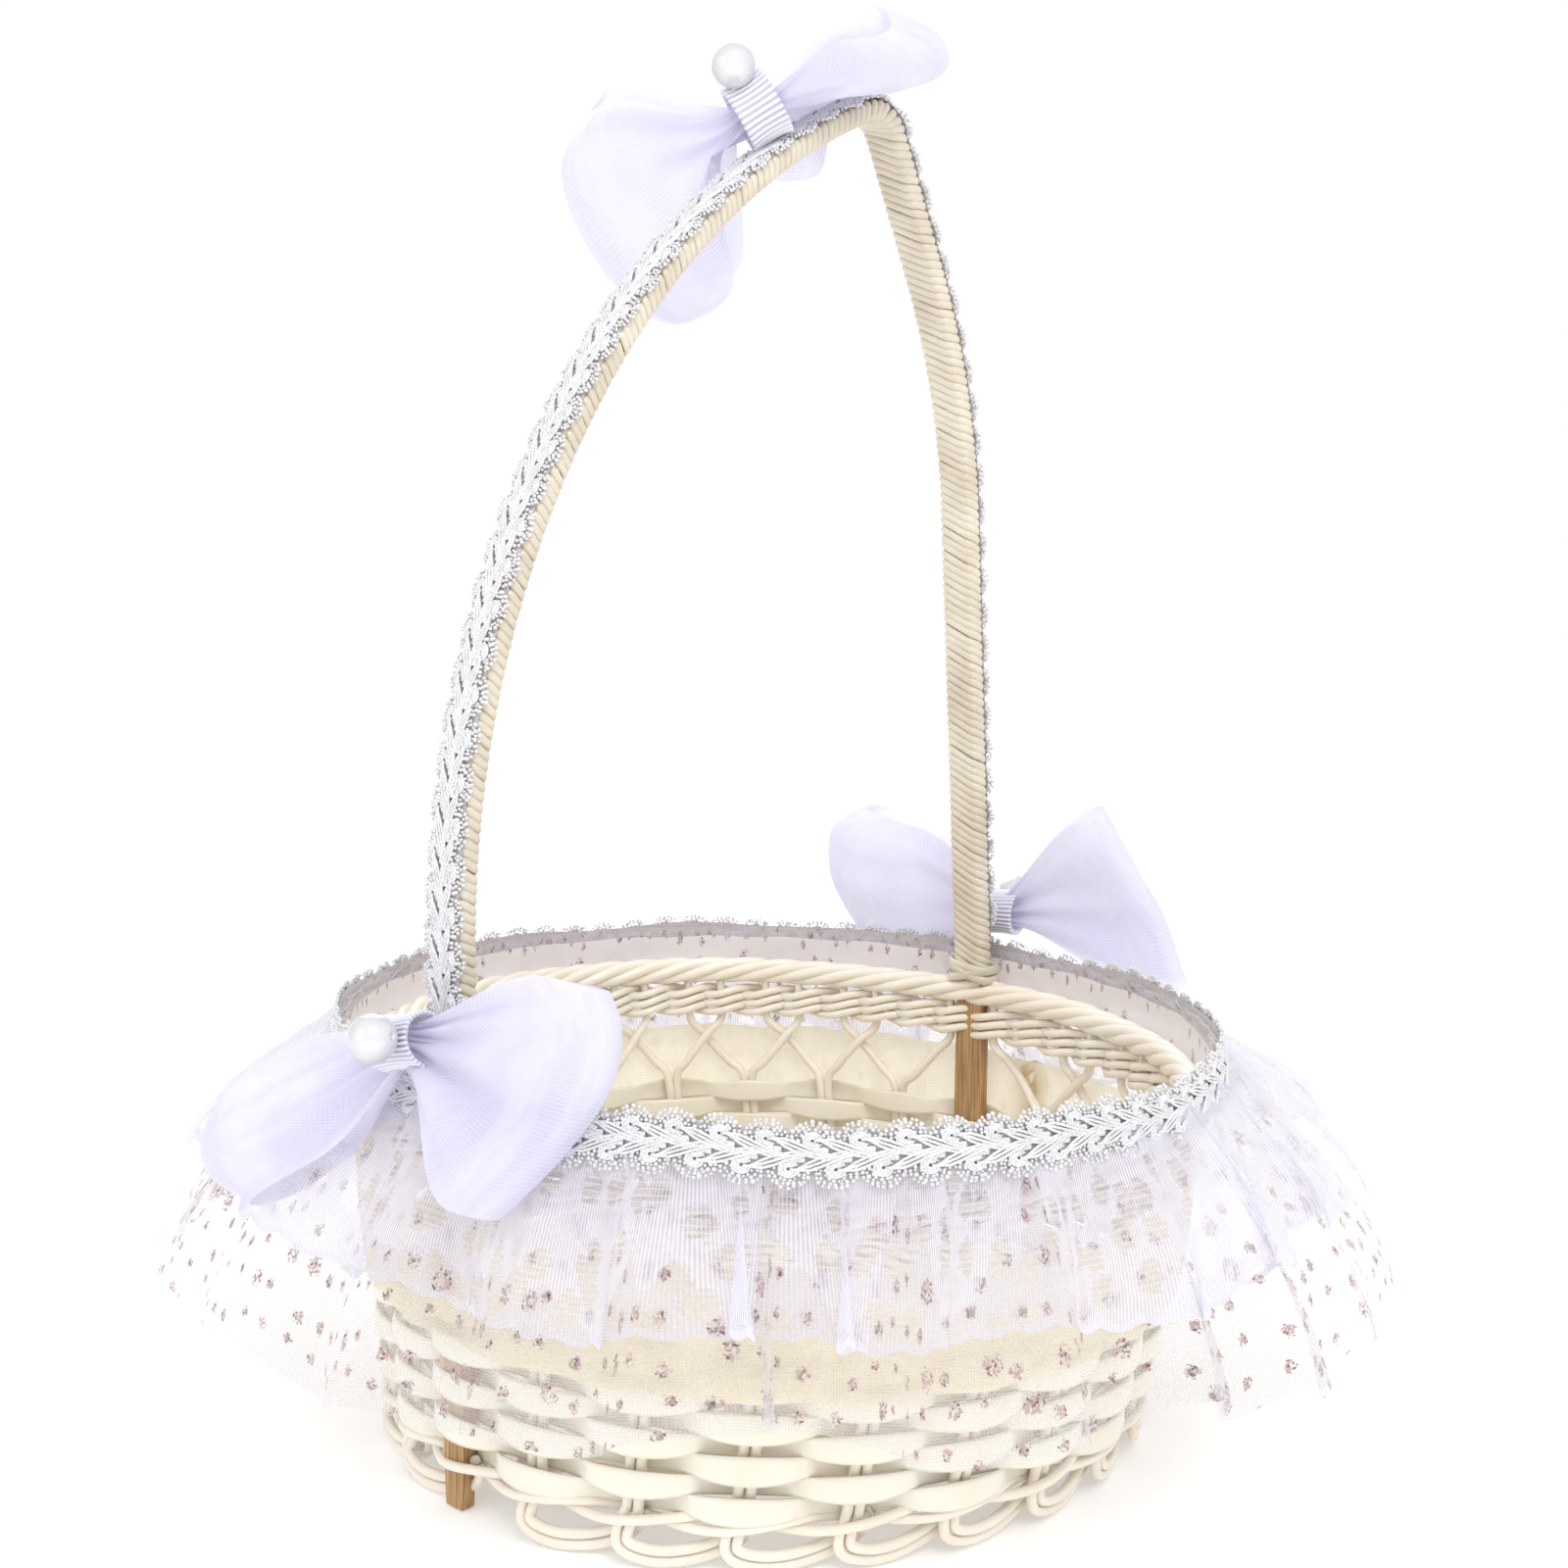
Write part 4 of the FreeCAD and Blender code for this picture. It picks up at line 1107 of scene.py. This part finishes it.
def wing_look(*fold, **changes):
    """How one wing looks.

    fold is the line of its outer fold. open is half the gap between the two layers, fan and
    pinch say where and how fast the ribbon widens, curl bends its edges, crease and phase
    set the creases, and drape is how far the lift over the slat fades out, or 0 for none.
    """
    look = dict(fold=fold, open=7.0, fan=0.75, pinch=0.75, curl=0.0, crease=1.2, phase=0.0,
                drape=0.0)
    look.update(changes)
    return look


def make_bows():
    make_bow("top_bow", (
        wing_look((18, -31, 23), (34, -34, 21), (46, -28, 17), (49, -11, 16), (48, 3, 12),
                  (44, 16, -6), open=5.0, fan=0.55, phase=0.4, crease=0.6, drape=6.0),
        wing_look((-25, 38, 2), (-28, 47, -11), (-20, 49, -28), (-8, 44, -45), (3, 37, -53),
                  (11, 31, -50), open=13.0, phase=2.0, crease=0.8, pinch=1.5, fan=0.8, drape=4.0),
    ))
    make_bow("left_bow", (
        wing_look((11, -59, 20), (12, -62, 11), (10, -59, -3), (1, -51, -19), (-8, -41, -33),
                  fan=0.85, phase=1.0),
        wing_look((-12, 53, -19), (-18, 56, -31), (-19, 52, -41), (-15, 42, -47), fan=0.55,
                  phase=2.6, open=9.0),
    ))
    make_bow("right_bow", (
        wing_look((1, -37, 37), (5, -41, 28), (11, -47, 14), (16, -52, 2), (22, -57, -20),
                  open=6.0, fan=0.95, phase=0.2, crease=0.9),
        wing_look((-5, 54, 30), (-11, 61, 25), (-13, 62, 17), (-12, 60, 4), (-7, 52, -13),
                  open=11.0, fan=0.6, phase=1.4, curl=2.0, crease=0.9),
    ))


# ---- the basket
make_stakes()
make_strips()
make_weavers()
make_rope()
make_loops()
make_base()
make_wrap()
make_lashings()
make_handle_braid()
make_rim_braid()
make_ruffles()
make_band("rim_tape", tape_low[2] + 0.5, tape_high[2], 4.8, "tape", "heading_tape", 0.5, 5)
make_band("yellow_sash", sash_low[2] + 5.0, sash_high[2], 4.2, "satin", "satin_sash", 1.1, 8)
make_sash_knot()
make_bows()

for node, key in (("handle_slat", "bamboo"), ("base_sticks", "cane")):
    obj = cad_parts[node]
    obj.data.materials.clear()
    obj.data.materials.append(MATERIALS[key])

# ---- studio
CAMERA_TURN = 0.8359        # radians from -Y towards -X
CAMERA_RISE = 0.1228        # radians above the table
CAMERA_DISTANCE = 0.60
CAMERA_ROLL = 0.0091
CAMERA_SHIFT = (0.0035, 0.1747)  # right and up, across the line of sight
LENS_SHARE = 1.3241              # focal length over the picture's width


def make_camera():
    toward = np.array([
        -math.sin(CAMERA_TURN) * math.cos(CAMERA_RISE),
        -math.cos(CAMERA_TURN) * math.cos(CAMERA_RISE),
        math.sin(CAMERA_RISE)])
    right = unit(np.cross(-toward, (0, 0, 1)))
    up = np.cross(right, -toward)
    place = toward * CAMERA_DISTANCE + right * CAMERA_SHIFT[0] + up * CAMERA_SHIFT[1]
    cos_roll, sin_roll = math.cos(CAMERA_ROLL), math.sin(CAMERA_ROLL)
    right, up = cos_roll * right + sin_roll * up, -sin_roll * right + cos_roll * up
    data = bpy.data.cameras.new("camera")
    data.sensor_width = 36.0
    data.lens = 36.0 * LENS_SHARE
    camera = bpy.data.objects.new("camera", data)
    rotation = Matrix((right, up, toward)).transposed().to_4x4()
    camera.matrix_world = Matrix.Translation(Vector(place)) @ rotation
    bpy.context.scene.collection.objects.link(camera)
    bpy.context.scene.camera = camera


def make_light(name, place, size, power):
    """A soft square light aimed at the middle of the basket, in metres and watts."""
    data = bpy.data.lights.new(name, "AREA")
    data.size = size
    data.energy = power
    light = bpy.data.objects.new(name, data)
    light.location = place
    aim = Vector((0, 0, 0.15)) - Vector(place)
    light.rotation_euler = aim.to_track_quat("-Z", "Y").to_euler()
    bpy.context.scene.collection.objects.link(light)


def make_world():
    """White all round: plain white to the camera, softer as a light."""
    world = bpy.data.worlds.new("studio")
    bpy.context.scene.world = world
    world.use_nodes = True
    tree = world.node_tree
    background = tree.nodes["Background"]
    background.inputs[0].default_value = (1.0, 1.0, 1.0, 1.0)
    path = tree.nodes.new("ShaderNodeLightPath")
    strength = tree.nodes.new("ShaderNodeMapRange")
    tree.links.new(path.outputs["Is Camera Ray"], strength.inputs["Value"])
    strength.inputs["To Min"].default_value = 0.95
    strength.inputs["To Max"].default_value = 1.0
    tree.links.new(strength.outputs[0], background.inputs[1])


def make_studio():
    bpy.ops.mesh.primitive_plane_add(size=8, location=(0, 0, -0.0005))
    floor = bpy.context.object
    floor.name = "floor"
    n = Nodes("floor_paper")
    grain = n.noise(n.place(), 900.0, 2.0)
    colour = n.blend(grain, (0.90, 0.90, 0.90), (0.93, 0.93, 0.93))
    paper = n.surface(Base_Color=colour, Roughness=0.9, Emission_Color=(1.0, 1.0, 1.0),
                      Emission_Strength=0.22)
    floor.data.materials.append(n.finish(paper))
    make_light("key", (-0.45, -0.75, 1.25), 0.6, 6.5)
    make_light("fill", (-1.1, 0.3, 0.6), 0.9, 1.0)
    make_light("back", (0.7, 1.0, 1.0), 1.0, 4.2)
    make_world()
    bpy.context.scene.view_settings.view_transform = "Standard"


make_camera()
make_studio()
